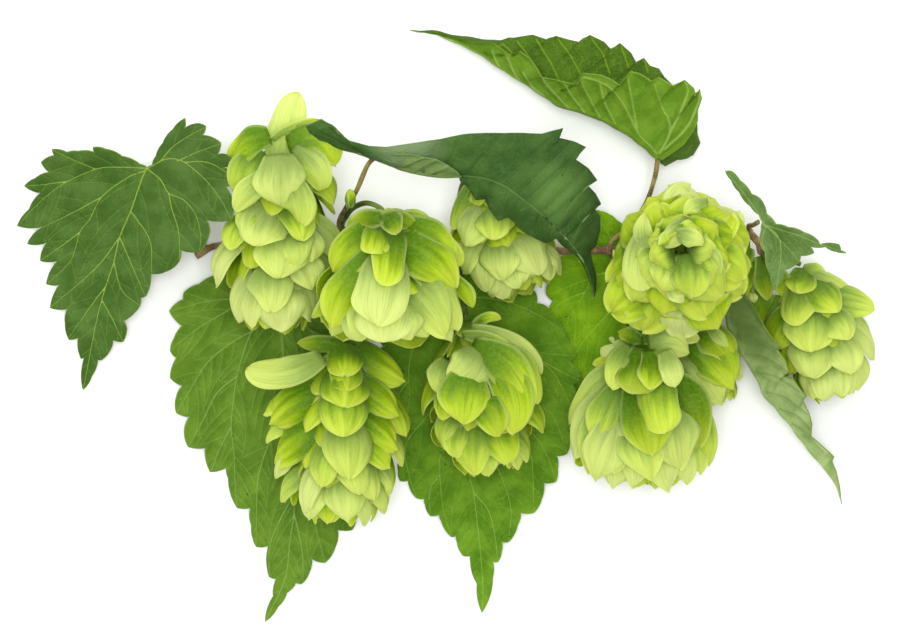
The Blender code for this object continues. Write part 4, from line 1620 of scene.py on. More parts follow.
            # From root to tip, each point's share of the axis and of the radius
            control = np.array([
                self.surface(max(end - 0.36, 0.0), angle, 0.25),
                self.surface(max(end - 0.22, 0.04), angle, 0.88 * share),
                self.surface(max(end - 0.08, 0.1), angle, 1.03 * share * (0.3 + 0.7 * close)),
                self.surface(end, angle, share * close),
            ])
            width = 1.05 * max(float(self.girth(end - 0.1)), 0.5 * self.radius * MM) * share
            tone = float(self.rng.uniform(-0.45, 0.1))
            bract = Bract(control, self.up, width, tone, INNER_CUT)
            bract.outward = self.outward(bract.line(), 0.0)
            bract.lay(skin, self.rng)

    def core(self, skin: Skin) -> None:
        """Adds the close-set inner bracts as one dark form, so that no light comes through the cone.

        Args:
            skin: The piece being gathered.
        """
        reach = np.linspace(0.03, min(0.90, self.last_ring - 0.08), 18)
        angle = np.linspace(0, 2 * math.pi, 25)[:-1]
        rings = self.surface(reach[:, None] + 0 * angle, angle[None] + 0 * reach[:, None], CORE_SHARE)
        ends = np.vstack([self.surface(reach[0] - 0.01, 0.0, 0.0), self.surface(reach[-1] + 0.01, 0.0, 0.0)])
        points = np.vstack([rings.reshape(-1, 3), ends])
        rows, columns = rings.shape[:2]
        row, column = np.meshgrid(np.arange(rows - 1), np.arange(columns), indexing="ij")
        corner = (row * columns + column).ravel()
        beside = (row * columns + (column + 1) % columns).ravel()
        around = np.arange(columns)
        after = (around + 1) % columns
        last = (rows - 1) * columns
        faces = np.vstack([
            np.column_stack([corner, corner + columns, beside + columns]),
            np.column_stack([corner, beside + columns, beside]),
            np.column_stack([np.full(columns, len(points) - 2), around, after]),
            np.column_stack([np.full(columns, len(points) - 1), last + after, last + around]),
        ])
        if np.linalg.det(points[faces] - points.mean(axis=0)).sum() < 0:
            faces = faces[:, ::-1]
        marks = np.tile([0.5, 0.0, 5.0], (len(points), 1))
        skin.add(points, faces, np.zeros((len(points), 2)), marks, np.zeros(len(faces), int))

    def build(self) -> bpy.types.Object:
        """Makes the cone.

        Returns:
            The cone, as one mesh.
        """
        skin = Skin()
        self.core(skin)
        for close in CLOSING_TIERS:
            self.ring(skin, self.rings - 1, close)
        for number in range(self.rings):
            self.ring(skin, number)
        for entry in self.shown:
            self.placed(skin, entry)
        for row in self.free:
            FreeBract.read(row).lay(skin, self.rng)
        return skin.piece(self.node + "_bracts", self.node, "bract", (BRACT_PAPER,))


class StemTree(NodeMaker):
    """A Geometry Nodes tree that turns a line into a ridged stem with short hairs."""

    def __init__(self) -> None:
        """Builds the tree."""
        super().__init__(bpy.data.node_groups.new("hairy_stem", "GeometryNodeTree"))
        self.sockets: dict[str, str] = {}
        self.tree.interface.new_socket("Geometry", in_out="INPUT", socket_type="NodeSocketGeometry")
        for name, kind in (
            ("Sides", "Int"), ("Ridges", "Float"), ("Ridge height", "Float"), ("Twist", "Float"),
            ("Hair density", "Float"), ("Hair length", "Float"), ("Hair radius", "Float"), ("Seed", "Int"),
            ("Bark", "Material"),
        ):
            socket = self.tree.interface.new_socket(name, in_out="INPUT", socket_type="NodeSocket" + kind)
            self.sockets[name] = socket.identifier
        self.tree.interface.new_socket("Geometry", in_out="OUTPUT", socket_type="NodeSocketGeometry")
        self.inputs = self.tree.nodes.new("NodeGroupInput").outputs
        bark = self.stem()
        hairs = self.hairs(bark)
        both = self.node("GeometryNodeJoinGeometry", {})
        for part in (bark, hairs):
            self.tree.links.new(part, both.inputs[0])
        real = self.node("GeometryNodeRealizeInstances", {"Geometry": both.outputs[0]})
        clothing = {"Geometry": real.outputs[0], "Material": self.inputs["Bark"]}
        clad = self.node("GeometryNodeSetMaterial", clothing)
        out = self.tree.nodes.new("NodeGroupOutput")
        self.tree.links.new(clad.outputs[0], out.inputs[0])

    def stem(self) -> bpy.types.NodeSocket:
        """The bark: a ridged profile run along the line, at the girth that each point keeps.

        Returns:
            The bark's mesh.
        """
        line = self.node("GeometryNodeMeshToCurve", {0: self.inputs["Geometry"]})
        reach = self.node("GeometryNodeSplineParameter", {}).outputs["Length"]
        turn = self.math("MULTIPLY", reach, self.inputs["Twist"])
        twisted = self.node("GeometryNodeSetCurveTilt", {0: line.outputs[0], "Tilt": turn})
        circle = {"Resolution": self.inputs["Sides"], "Radius": 1.0}
        ring = self.node("GeometryNodeCurvePrimitiveCircle", circle)
        around = self.node("GeometryNodeSplineParameter", {}).outputs["Factor"]
        phase = self.math("MULTIPLY", self.math("MULTIPLY", around, 2 * math.pi), self.inputs["Ridges"])
        wave = self.math("COSINE", phase)
        scale = self.math("MULTIPLY_ADD", wave, self.inputs["Ridge height"], 1.0)
        place = self.node("GeometryNodeInputPosition", {}).outputs[0]
        moved = self.node("ShaderNodeVectorMath", {0: place, "Scale": scale}, operation="SCALE")
        profile = self.node("GeometryNodeSetPosition", {0: ring.outputs[0], "Position": moved.outputs[0]})
        girth = self.node("GeometryNodeInputNamedAttribute", {"Name": "girth"}, data_type="FLOAT")
        solid = self.node("GeometryNodeCurveToMesh", {
            "Curve": twisted.outputs[0], "Profile Curve": profile.outputs[0], "Scale": girth.outputs[0],
            "Fill Caps": True,
        })
        return solid.outputs[0]

    def hairs(self, bark: bpy.types.NodeSocket) -> bpy.types.NodeSocket:
        """Short stiff hairs that stand on the bark, each leaning its own way.

        Args:
            bark: The bark's mesh.

        Returns:
            The hairs, as instances.
        """
        spread = self.node("GeometryNodeDistributePointsOnFaces", {
            0: bark, "Density": self.inputs["Hair density"], "Seed": self.inputs["Seed"],
        })
        spike = self.node("GeometryNodeMeshCone", {
            "Vertices": 3, "Radius Top": 0.0, "Radius Bottom": self.inputs["Hair radius"],
            "Depth": self.inputs["Hair length"],
        })
        mark = {0: spike.outputs[0], "Name": "hair", "Value": 1.0}
        marked = self.node("GeometryNodeStoreNamedAttribute", mark)
        lean = self.node("FunctionNodeRandomValue", {
            0: (-0.7, -0.7, 0.0), 1: (0.7, 0.7, 3.0), "Seed": self.inputs["Seed"],
        }, data_type="FLOAT_VECTOR")
        turned = self.node("FunctionNodeEulerToRotation", {0: lean.outputs[0]})
        turns = {0: spread.outputs["Rotation"], 1: turned.outputs[0]}
        rotation = self.node("FunctionNodeRotateRotation", turns, rotation_space="LOCAL")
        sizes = {2: 0.5, 3: 1.2, "Seed": self.inputs["Seed"]}
        size = self.node("FunctionNodeRandomValue", sizes, data_type="FLOAT")
        stood = self.node("GeometryNodeInstanceOnPoints", {
            "Points": spread.outputs["Points"], "Instance": marked.outputs[0],
            "Rotation": rotation.outputs[0], "Scale": size.outputs[1],
        })
        return stood.outputs[0]


@dataclass
class Stem:
    """A stretch of bine, a leaf stalk or a cone stalk.

    Attributes:
        node: The CAD node that it stands for.
        slot: The name of its material slot. Not used.
        route: The places that it goes through.
        girth: Its radius.
        finish: Its bark.
        swell: Its radius at its end, where it meets a node, or nothing.
        ridges: How many ridges run along it.
        hairs: Hairs for each square metre.
        seed: The start of its irregularities.
    """

    node: str
    slot: str
    route: list[Place]
    girth: float
    finish: StemFinish
    swell: float | None = None
    ridges: int = 6
    hairs: float = 1.4e6
    seed: int = 3

    def girths(self, line: np.ndarray) -> np.ndarray:
        """The radius at each point of the line: full at a joint, and with slow small changes between.

        Args:
            line: The line's points.

        Returns:
            A radius for each point.
        """
        lengths = lengths_along(line)
        girths = self.girth * (1 + GIRTH_CHANGE * np.sin(lengths / GIRTH_WAVE + self.seed))
        if self.swell:
            left = lengths[-1] - lengths
            girths = girths + (self.swell - self.girth) * np.exp(-((left / NODE_REACH) ** 2))
        return girths

    def build(self, trees: StemTree) -> bpy.types.Object:
        """Makes the stem.

        Args:
            trees: The tree that makes stems.

        Returns:
            The stem, as a plain mesh.
        """
        line = smooth(VIEW.points(self.route), STEM_STEP)
        name = self.node + "_bark"
        wire = bpy.data.meshes.new(name + "_line")
        wire.from_pydata(line.tolist(), [(step, step + 1) for step in range(len(line) - 1)], [])
        girth = wire.attributes.new("girth", "FLOAT", "POINT")
        girth.data.foreach_set("value", self.girths(line).astype(np.float32))
        guide = put(name + "_line", wire)
        modifier = guide.modifiers.new("stem", "NODES")
        modifier.node_group = trees.tree
        values = {
            "Sides": STEM_SIDES, "Ridges": float(self.ridges), "Ridge height": RIDGE_HEIGHT, "Twist": TWIST,
            "Hair density": self.hairs, "Hair length": HAIR_LENGTH, "Hair radius": HAIR_RADIUS,
            "Seed": self.seed,
            "Bark": Finishes.get(self.finish),
        }
        for key, value in values.items():
            modifier[trees.sockets[key]] = value
        evaluated = guide.evaluated_get(bpy.context.evaluated_depsgraph_get())
        mesh = bpy.data.meshes.new_from_object(evaluated)
        mesh.name = name
        bpy.data.objects.remove(guide, do_unlink=True)
        mesh.shade_smooth()
        piece = put(name, mesh)
        settle(piece, self.node)
        return piece


# The left leaf, upper face to the camera, its right side propped on the tall cone

LEFT_LEAF_OUTLINE = [
    (147, 167), (140, 164), (122, 156), (106, 149), (93, 147), (94, 152), (78, 151), (67, 152), (52, 149),
    (54, 155), (41, 162), (49, 172), (35, 178), (24, 186), (40, 193), (29, 209), (17, 226), (42, 227),
    (27, 244), (46, 243), (40, 261), (57, 261), (46, 284), (59, 285), (50, 308), (67, 309), (65, 323),
    (69, 340), (78, 338), (81, 359), (84, 358), (83, 390), (92, 376), (98, 360), (102, 360), (112, 347),
    (113, 340), (123, 342), (127, 328), (124, 321), (140, 306), (141, 298), (146, 296), (151, 274),
    (168, 271), (179, 262), (181, 250), (200, 252), (210, 232), (207, 220), (232, 220), (233, 202),
    (226, 187), (242, 181), (235, 171), (223, 168), (235, 162), (226, 154), (218, 154), (221, 143),
    (214, 138), (203, 135), (206, 126), (198, 123), (185, 128), (185, 118), (173, 129), (163, 143),
    (156, 156), (152, 165),
]
LEFT_LEAF_PEGS = [
    (147, 167, 15), (242, 181, 34), (221, 143, 33), (206, 126, 29), (232, 220, 33), (185, 118, 23),
    (200, 252, 24), (169, 193, 19), (17, 226, 4), (24, 186, 7), (41, 162, 9), (52, 149, 11), (93, 147, 14),
    (83, 390, 0.6), (50, 308, 3), (27, 244, 4.5), (146, 296, 10), (120, 237, 9), (100, 300, 4),
    (70, 260, 4.2), (102, 360, 3), (96, 169, 9), (114, 200, 9),
]

# The low left leaf, its veined underside to the camera, flat on the table under two cones

LOW_LEFT_LEAF_OUTLINE = [
    (240, 266), (217, 275), (199, 284), (184, 292), (183, 299), (169, 311), (182, 326), (174, 338),
    (170, 351), (176, 358), (170, 378), (182, 386), (176, 397), (176, 413), (189, 417), (184, 430),
    (188, 447), (205, 448), (210, 472), (226, 468), (228, 478), (237, 508), (250, 508), (251, 525),
    (256, 547), (268, 546), (269, 577), (276, 579), (273, 596), (265, 622), (278, 607), (287, 593),
    (296, 583), (302, 584), (310, 571), (312, 559), (325, 563), (336, 546), (338, 530), (352, 530),
    (356, 522), (354, 505), (364, 497), (360, 480), (374, 462), (364, 440), (374, 420), (360, 400),
    (366, 378), (352, 360), (352, 337), (340, 320), (335, 296), (324, 285), (310, 277), (292, 283),
    (283, 297), (276, 284), (262, 270),
]
LOW_LEFT_LEAF_PEGS = [
    (240, 266, 2.2), (169, 311, 5.5), (170, 351, 3.2), (170, 378, 4.6), (176, 413, 2.6), (188, 447, 4.2),
    (210, 472, 1.6), (237, 508, 2.6), (256, 547, 1.2), (269, 577, 2.0), (265, 622, 1.4), (302, 584, 3.2),
    (325, 563, 2.6), (352, 530, 0.7), (293, 496, 0.4), (282, 348, 0.5), (288, 420, 0.4), (232, 390, 1.3),
    (238, 450, 0.6), (360, 480, 0.4), (366, 378, 0.4), (340, 320, 0.4), (310, 277, 0.5), (283, 297, 0.6),
    (215, 340, 1.4), (290, 541, 0.6),
]

# The low middle leaf, upper face to the camera, flat on the table under three cones

LOW_MIDDLE_LEAF_OUTLINE = [
    (511, 284), (525, 284), (536, 293), (537, 303), (549, 308), (548, 312), (563, 329), (570, 343),
    (576, 355), (570, 362), (578, 369), (581, 380), (573, 385), (580, 401), (579, 424), (569, 428),
    (570, 441), (567, 454), (557, 456), (558, 469), (556, 482), (544, 483), (542, 499), (534, 513),
    (521, 513), (518, 525), (509, 542), (502, 542), (502, 551), (498, 562), (493, 562), (493, 577),
    (482, 613), (477, 584), (470, 556), (463, 556), (457, 543), (456, 536), (451, 537), (441, 521),
    (439, 515), (430, 516), (425, 505), (424, 499), (416, 498), (409, 486), (408, 481), (400, 481),
    (398, 471), (401, 451), (400, 436), (385, 425), (388, 410), (376, 396), (384, 380), (373, 360),
    (383, 346), (376, 328), (386, 312), (392, 288), (408, 284), (424, 266), (440, 274), (452, 292),
    (464, 274), (480, 266), (495, 276),
]
LOW_MIDDLE_LEAF_PEGS = [
    (511, 284, 2.2), (536, 293, 3.4), (563, 329, 4.0), (576, 355, 3.2), (581, 380, 4.2), (579, 424, 3.6),
    (567, 454, 2.6), (556, 482, 4.2), (534, 513, 2.8), (509, 542, 3.8), (498, 562, 2.2), (482, 613, 0.6),
    (463, 556, 1.6), (441, 521, 3.0), (430, 516, 2.4), (400, 481, 0.9), (398, 471, 0.8), (400, 436, 0.5),
    (376, 396, 0.5), (376, 328, 0.5), (392, 288, 0.6), (424, 266, 0.6), (452, 292, 0.7), (480, 266, 0.7),
    (458, 340, 0.6), (463, 400, 0.5), (469, 471, 0.4), (480, 549, 0.5), (520, 400, 1.2), (530, 340, 2.4),
    (515, 460, 1.0), (435, 470, 0.8), (545, 420, 2.6),
]

# The leaf behind, mostly hidden by the cones over it, under the low middle leaf's right side

BEHIND_LEAF_OUTLINE = [
    (595, 210), (601, 211), (609, 214), (617, 220), (627, 230), (640, 240), (634, 256), (652, 244),
    (668, 240), (680, 254), (694, 262), (692, 284), (702, 296), (694, 312), (699, 330), (686, 342),
    (690, 362), (676, 372), (678, 394), (664, 404), (664, 428), (650, 436), (648, 462), (636, 440),
    (622, 446), (618, 428), (602, 432), (600, 414), (584, 416), (584, 398), (570, 400), (572, 382),
    (560, 380), (564, 362), (552, 354), (558, 336), (544, 317), (549, 308), (553, 301), (546, 294),
    (548, 283), (556, 262), (568, 252), (572, 236), (584, 230),
]
BEHIND_LEAF_PEGS = [
    (595, 210, 7), (627, 230, 4.5), (572, 236, 5), (548, 283, 3.2), (544, 317, 0.6), (560, 380, 0.5),
    (584, 416, 0.5), (602, 432, 0.5), (648, 462, 0.5), (664, 404, 0.5), (699, 330, 0.5), (694, 262, 0.6),
    (668, 240, 1.0), (628, 264, 2.2), (630, 310, 0.6), (636, 370, 0.5), (590, 290, 2.6), (585, 350, 0.6),
    (600, 330, 1.2), (660, 330, 0.5),
]

# The small three-lobed leaf at the sprig's tip

SMALL_LEAF_OUTLINE = [
    (762, 222), (759, 215), (750, 206), (739, 192), (731, 180), (725, 171), (732, 171), (740, 180),
    (752, 194), (761, 199), (767, 214), (776, 224), (788, 227), (804, 232), (817, 239), (820, 244),
    (839, 244), (841, 250), (847, 253), (836, 252), (825, 247), (811, 247), (814, 253), (801, 256),
    (799, 262), (785, 270), (779, 284), (776, 291), (770, 275), (765, 252), (760, 243), (761, 230),
]
SMALL_LEAF_PEGS = [
    (762, 222, 29), (725, 171, 36), (752, 194, 35), (788, 227, 35), (820, 244, 32), (847, 253, 28),
    (778, 236, 31), (799, 262, 34), (776, 291, 30), (760, 243, 33),
]

# The twisted leaf over the middle: midrib, upper margin, lower margin. Near its stalk the lower half curls up

TWISTED_LEAF_ROWS = [
    ((370, 158, 38), (352, 148, 37), (375, 156, 39)),
    ((370, 158, 38), (336, 145, 37), (379, 154, 40)),
    ((370, 158, 38), (321, 139, 37), (384, 153, 40)),
    ((370, 158, 38), (310, 133, 38), (388, 153, 41)),
    ((370, 158, 38), (306, 126, 40), (392, 153, 41)),
    ((370, 158, 38), (321, 119, 43), (396, 153, 42)),
    ((370, 158, 38), (333, 128, 42), (400, 153, 42)),
    ((378, 161, 38), (350, 141, 42), (406, 154, 43)),
    ((386, 164, 38), (369, 146, 42), (414, 155, 43)),
    ((396, 168, 38), (386, 147, 42), (424, 157, 43)),
    ((410, 172, 38), (414, 143, 42), (436, 159, 43)),
    ((426, 176, 38), (440, 139, 42), (448, 165, 42)),
    ((442, 177, 38), (464, 134, 42), (458, 172, 40)),
    ((456, 176, 38), (486, 133, 42), (464, 182, 37)),
    ((466, 176, 38), (505, 133, 42), (470, 190, 36)),
    ((478, 177, 39), (524, 133, 41), (476, 200, 35)),
    ((490, 180, 39), (542, 134, 40), (485, 199, 36)),
    ((500, 184, 40), (563, 128, 39), (489, 208, 36)),
    ((510, 190, 40), (559, 138, 38), (498, 221, 35)),
    ((518, 196, 40), (573, 141, 37), (508, 217, 36)),
    ((526, 202, 40), (586, 147, 35), (514, 222, 35)),
    ((534, 208, 40), (573, 158, 36), (522, 231, 34)),
    ((541, 214, 39), (588, 168, 33), (531, 236, 33)),
    ((548, 221, 38), (597, 180, 30), (539, 240, 32)),
    ((554, 227, 37), (584, 182, 32), (546, 243, 31)),
    ((560, 233, 36), (595, 193, 28), (552, 240, 31)),
    ((566, 239, 35), (601, 204, 25), (556, 238, 31)),
    ((570, 243, 34), (588, 202, 28), (561, 244, 30)),
    ((574, 248, 33), (600, 216, 23), (566, 248, 29)),
    ((578, 253, 31), (600, 230, 21), (572, 252, 28)),
    ((582, 259, 29), (597, 241, 20), (578, 257, 26)),
    ((585, 265, 26), (589, 246, 22), (582, 263, 24)),
    ((588, 272, 23), (592, 261, 19), (586, 270, 21)),
    ((591, 280, 20), (596, 275, 16), (589, 279, 18)),
    ((593, 289, 16), (596, 289, 14), (592, 288, 15)),
    ((593.5, 300, 12), (593.5, 300, 12), (593.5, 300, 12)),
]

# The top leaf, folded along its midrib: midrib, near half with its underside up, far half lying on the table

TOP_LEAF_ROWS = [
    ((657, 158, 15), (662, 160, 16), (661, 160, 12)),
    ((657, 158, 15), (672, 153, 16.6), (665, 166, 9)),
    ((657, 158, 15), (684, 144, 17.2), (682, 157, 6.4)),
    ((657, 158, 15), (694, 130, 17.8), (693, 155, 4.4)),
    ((657, 158, 15), (698, 120, 18.4), (700, 143, 3.2)),
    ((657, 158, 15), (698, 110, 19), (697, 134, 2.6)),
    ((654, 156, 15), (702, 98, 19.4), (697, 126, 2.3)),
    ((650, 153, 14.7), (700, 89, 19.7), (696, 118, 2.1)),
    ((645, 148, 14.4), (696, 96, 20), (690, 108, 2)),
    ((640, 144, 14), (694, 88, 20), (684, 99, 2)),
    ((633, 138, 13.5), (685, 80, 20), (676, 90, 2)),
    ((626, 134, 13.1), (674, 86, 20), (670, 83, 2)),
    ((618, 129, 12.7), (659, 77, 19.8), (664, 77, 2)),
    ((609, 124, 12.2), (652, 81, 19.6), (659, 69, 2)),
    ((600, 120, 11.8), (641, 74, 19.3), (650, 66, 2)),
    ((592, 116, 11.4), (631, 71, 19), (644, 58, 2)),
    ((584, 113, 11), (620, 85, 18.5), (636, 63, 2)),
    ((574, 110, 10.6), (611, 79, 18), (631, 53, 2)),
    ((564, 107, 10.2), (602, 75, 17.3), (620, 43, 2)),
    ((555, 104, 9.7), (583, 73, 16.6), (612, 51, 2)),
    ((546, 98, 9.2), (578, 85, 15.8), (604, 42, 2)),
    ((537, 92, 8.8), (569, 83, 15), (590, 35, 2)),
    ((528, 86, 8.3), (556, 80, 14), (582, 43, 2)),
    ((519, 80, 7.9), (542, 77, 13), (569, 40, 2)),
    ((509, 74, 7.4), (539, 71, 12), (556, 36, 2)),
    ((499, 67, 7), (531, 59, 11), (550, 41, 2)),
    ((489, 60, 6.5), (520, 51, 10), (533, 35, 1.9)),
    ((479, 53, 6), (513, 57, 9), (514, 38, 1.8)),
    ((468, 47, 5.4), (494, 43.5, 8), (502, 41, 1.7)),
    ((457, 42, 4.8), (480, 44, 7), (488, 41.5, 1.6)),
    ((446, 37, 4.1), (461, 41, 5.5), (468, 39.5, 1.6)),
    ((431, 32.5, 3.2), (442, 35.5, 4), (446, 35, 1.6)),
    ((410, 30, 2), (410, 30, 2), (410, 30, 2)),
]

# The narrow leaf, folded along its midrib over the far cone's side: midrib, near half, far half tucked under

NARROW_LEAF_ROWS = [
    ((724, 300, 17), (744, 294, 19), (738, 300, 8)),
    ((724, 308, 17), (751, 302, 21), (742, 310, 7)),
    ((727, 318, 17), (756, 311, 23), (746, 322, 6)),
    ((729, 328, 17), (760, 318, 25), (752, 332, 5)),
    ((735, 341, 17), (765, 327, 27), (757, 343, 5)),
    ((741, 351, 17), (773, 339, 29), (762, 354, 4)),
    ((747, 361, 17), (780, 346, 30), (767, 364, 4)),
    ((753, 370, 16), (778, 350, 29), (770, 373, 4)),
    ((758, 380, 16), (786, 362, 30), (775, 382, 3)),
    ((762, 391, 15), (789, 372, 29), (780, 391, 3)),
    ((769, 401, 14), (784, 376, 27), (784, 400, 3)),
    ((776, 408, 13), (794, 380, 27), (790, 409, 2.5)),
    ((783, 416, 12), (806, 397, 23), (796, 417, 2.4)),
    ((790, 424, 11), (803, 401, 20), (801, 425, 2.2)),
    ((797, 433, 10), (809, 413, 18), (806, 434, 2.0)),
    ((803, 441, 9), (812, 424, 16), (811, 442, 1.8)),
    ((809, 449, 8), (811, 436, 13), (816, 450, 1.6)),
    ((816, 457, 7), (829, 452, 11), (821, 459, 1.4)),
    ((823, 466, 6), (834, 457, 10), (827, 468, 1.3)),
    ((828, 472, 5), (832, 462, 8), (831, 474, 1.2)),
    ((832, 478, 4.4), (836, 471, 6.5), (834, 480, 1.2)),
    ((838, 490, 3), (839, 484, 4), (839, 491, 1.2)),
    ((842, 504, 1.6), (842, 504, 1.6), (842, 504, 1.6)),
]

# The folded leaves' side veins, near half first

TOP_LEAF_VEINS = (
    [
        [(657, 153), (638, 132), (627, 110), (613, 90), (596, 80), (583, 77)],
        [(638, 132), (634, 110), (628, 76)], [(660, 153), (670, 133), (668, 117), (662, 107), (655, 84)],
        [(670, 133), (680, 113), (688, 92), (685, 81)], [(665, 149), (687, 127), (698, 104), (701, 91)],
        [(600, 117), (590, 98), (580, 77)], [(616, 124), (606, 104), (600, 84)],
        [(570, 108), (556, 94), (543, 78)], [(545, 96), (532, 86), (524, 72)],
        [(523, 84), (514, 72), (508, 57)], [(500, 68), (495, 58), (492, 50)],
        [(585, 112), (574, 98), (562, 80)],
    ],
    [
        [(545, 85), (532, 62), (517, 41)], [(560, 82), (549, 60), (536, 39)],
        [(583, 80), (573, 60), (558, 39)], [(610, 74), (603, 55), (591, 38)],
        [(628, 68), (625, 56), (621, 47)], [(648, 72), (646, 65), (644, 59)],
        [(520, 62), (512, 52), (503, 44)], [(672, 148), (684, 134), (694, 128)],
        [(672, 140), (686, 122), (698, 108)],
    ],
)
NARROW_LEAF_VEINS = (
    [
        [(733, 318), (748, 322), (763, 333)], [(740, 336), (758, 337), (778, 349)],
        [(748, 354), (768, 358), (788, 372)], [(758, 372), (778, 377), (800, 392)],
        [(768, 391), (788, 398), (808, 414)], [(780, 408), (798, 416), (812, 430)],
        [(792, 423), (804, 430), (814, 440)], [(729, 308), (738, 310), (750, 318)],
        [(804, 434), (814, 442), (824, 452)],
    ],
)

# The bine, from its cut end to its tip, in one stretch for each pair of nodes, and the stalks that leave it

BINE = {
    "bine_1": [(196, 256, 5), (215, 246, 4), (250, 243, 3.4), (289, 242.7, 3.4)],
    "bine_2": [(290, 242.4, 3.4), (316, 236, 3.6), (341, 230.2, 4.5)],
    "bine_3": [(342, 230, 4.5), (380, 236, 4.2), (415, 240, 3.4), (455, 240, 2.9)],
    "bine_4": [(456, 240, 2.9), (500, 246, 2.6), (545, 250, 6), (575, 251, 9), (610.5, 250, 8.8)],
    "bine_5": [(611.5, 250, 8.7), (650, 244, 4.4), (700, 236, 5), (736, 232, 12), (748.5, 231.8, 17.9)],
    "bine_tip": [(749.5, 232.6, 18), (757, 241, 21), (763, 252, 23)],
}

LEAF_STALKS = {
    "leaf_left_stalk": [(206, 250, 4.4), (194, 222, 7), (162, 184, 10), (150, 172, 12.5)],
    "leaf_low_left_stalk": [(289.5, 243, 3.2), (288, 254, 2.4), (286, 270, 1.9), (284, 290, 1.8)],
    "leaf_twisted_stalk": [
        (341, 229, 5), (339, 223, 9), (345, 209, 18), (357, 190, 28), (367, 166, 36), (375, 157, 38),
    ],
    "leaf_low_middle_stalk": [(455.5, 241, 2.8), (455, 250, 2.2), (453, 266, 1.9), (452, 285, 1.9)],
    "leaf_behind_stalk": [(611, 251, 8.5), (612, 256, 7), (617, 259, 5), (623, 261, 3.8)],
    "leaf_top_stalk": [
        (611, 249, 8.9), (612, 241, 10), (632, 225, 9), (646, 203, 9), (654, 180, 12), (657, 165, 13),
        (658, 155, 14),
    ],
    "leaf_small_stalk": [(749, 231, 18), (749, 226, 21), (753, 225, 25), (758, 222, 27.5)],
    "leaf_narrow_stalk": [
        (749, 233, 17.8), (748, 243, 17), (747, 262, 15), (738, 282, 14.5), (727, 297, 15),
    ],
}

CONE_STALKS = {
    "cone_tall_stalk": [
        (289.5, 241, 3.6), (289, 231, 4.6), (292, 190, 4.0), (296, 150, 8), (293, 128, 17),
        (290, 131, 22),
    ],
    "cone_broad_stalk": [
        (342, 229, 5), (343, 222, 8.5), (352, 209, 19), (366, 203, 27), (380, 208, 28), (386, 218, 27.5),
    ],
    "cone_under_leaf_stalk": [
        (456, 239, 3), (457, 228, 3.4), (458, 205, 3.6), (463, 184, 8), (471, 180, 15),
    ],
    "cone_low_left_stalk": [
        (342, 231, 4.4), (342, 242, 4.2), (344, 280, 6), (346, 316, 14), (344, 336, 20),
    ],
    "cone_low_middle_stalk": [
        (456, 241, 3), (458, 252, 3.6), (461, 280, 6), (464, 305, 13), (466, 318, 18),
    ],
    "cone_facing_stalk": [(681, 240, 4.8), (682, 252, 5.6), (684, 262, 6), (683, 266, 8.6)],
    "cone_bell_stalk": [(610.5, 251, 8.6), (613, 264, 7.6), (622, 290, 7), (627, 318, 12), (635, 339, 21)],
    "cone_behind_stalk": [
        (612, 251, 8.9), (616, 258, 9.5), (640, 290, 4.5), (676, 308, 5), (691, 320, 8.6),
    ],
    "cone_far_stalk": [(762.5, 251, 22.8), (768, 255, 21), (784, 259, 18), (800, 264, 16)],
}

SHOOT = [(762.5, 251.5, 22.8), (764, 262, 20), (758, 276, 18), (752, 292, 17)]
BUD_PLACE = (350, 199, 30)
BUD_LENGTH = 4.6 * MM
BUD_RADIUS = 1.35 * MM
BUD_SCALE_WIDTH = 2.6 * BUD_RADIUS
BUD_TURNS = (0.3, 2.4, 4.5)

BINE_RADIUS = 0.85 * MM
NODE_RADIUS = 1.35 * MM
LEAF_STALK_RADIUS = 0.6 * MM
CONE_STALK_RADIUS = 0.65 * MM

# The open leaves' main veins, the midrib first

LEFT_LEAF_VEINS = [
    [
        (147, 168), (141, 182), (131, 211), (120, 237), (114, 262), (106, 286), (98, 315), (93, 339),
        (84, 387),
    ],
    [(146, 170), (127, 178), (102, 197), (90, 219), (80, 232), (71, 260), (48, 283)],
    [(146, 168), (114, 167), (96, 169), (68, 181), (49, 194), (29, 213), (19, 225)],
    [(148, 169), (161, 180), (169, 193), (184, 200), (196, 215), (201, 235), (200, 250)],
    [(148, 168), (167, 159), (184, 162), (204, 178), (220, 198), (231, 218)],
    [(160, 162), (172, 148), (186, 138), (204, 128)], [(184, 162), (210, 163), (240, 181)],
    [(178, 161), (198, 152), (220, 144)], [(102, 197), (72, 213), (43, 227)],
    [(80, 232), (60, 247), (41, 260)], [(96, 169), (72, 159), (53, 150)],
    [(68, 181), (47, 184), (26, 186)], [(169, 193), (172, 208), (179, 232), (180, 260)],
    [(131, 211), (150, 240), (152, 272)], [(120, 237), (96, 268), (51, 307)],
    [(120, 237), (132, 265), (145, 295)], [(106, 286), (88, 310), (68, 339)],
    [(114, 262), (122, 290), (139, 305)], [(102, 300), (112, 318), (123, 341)],
]
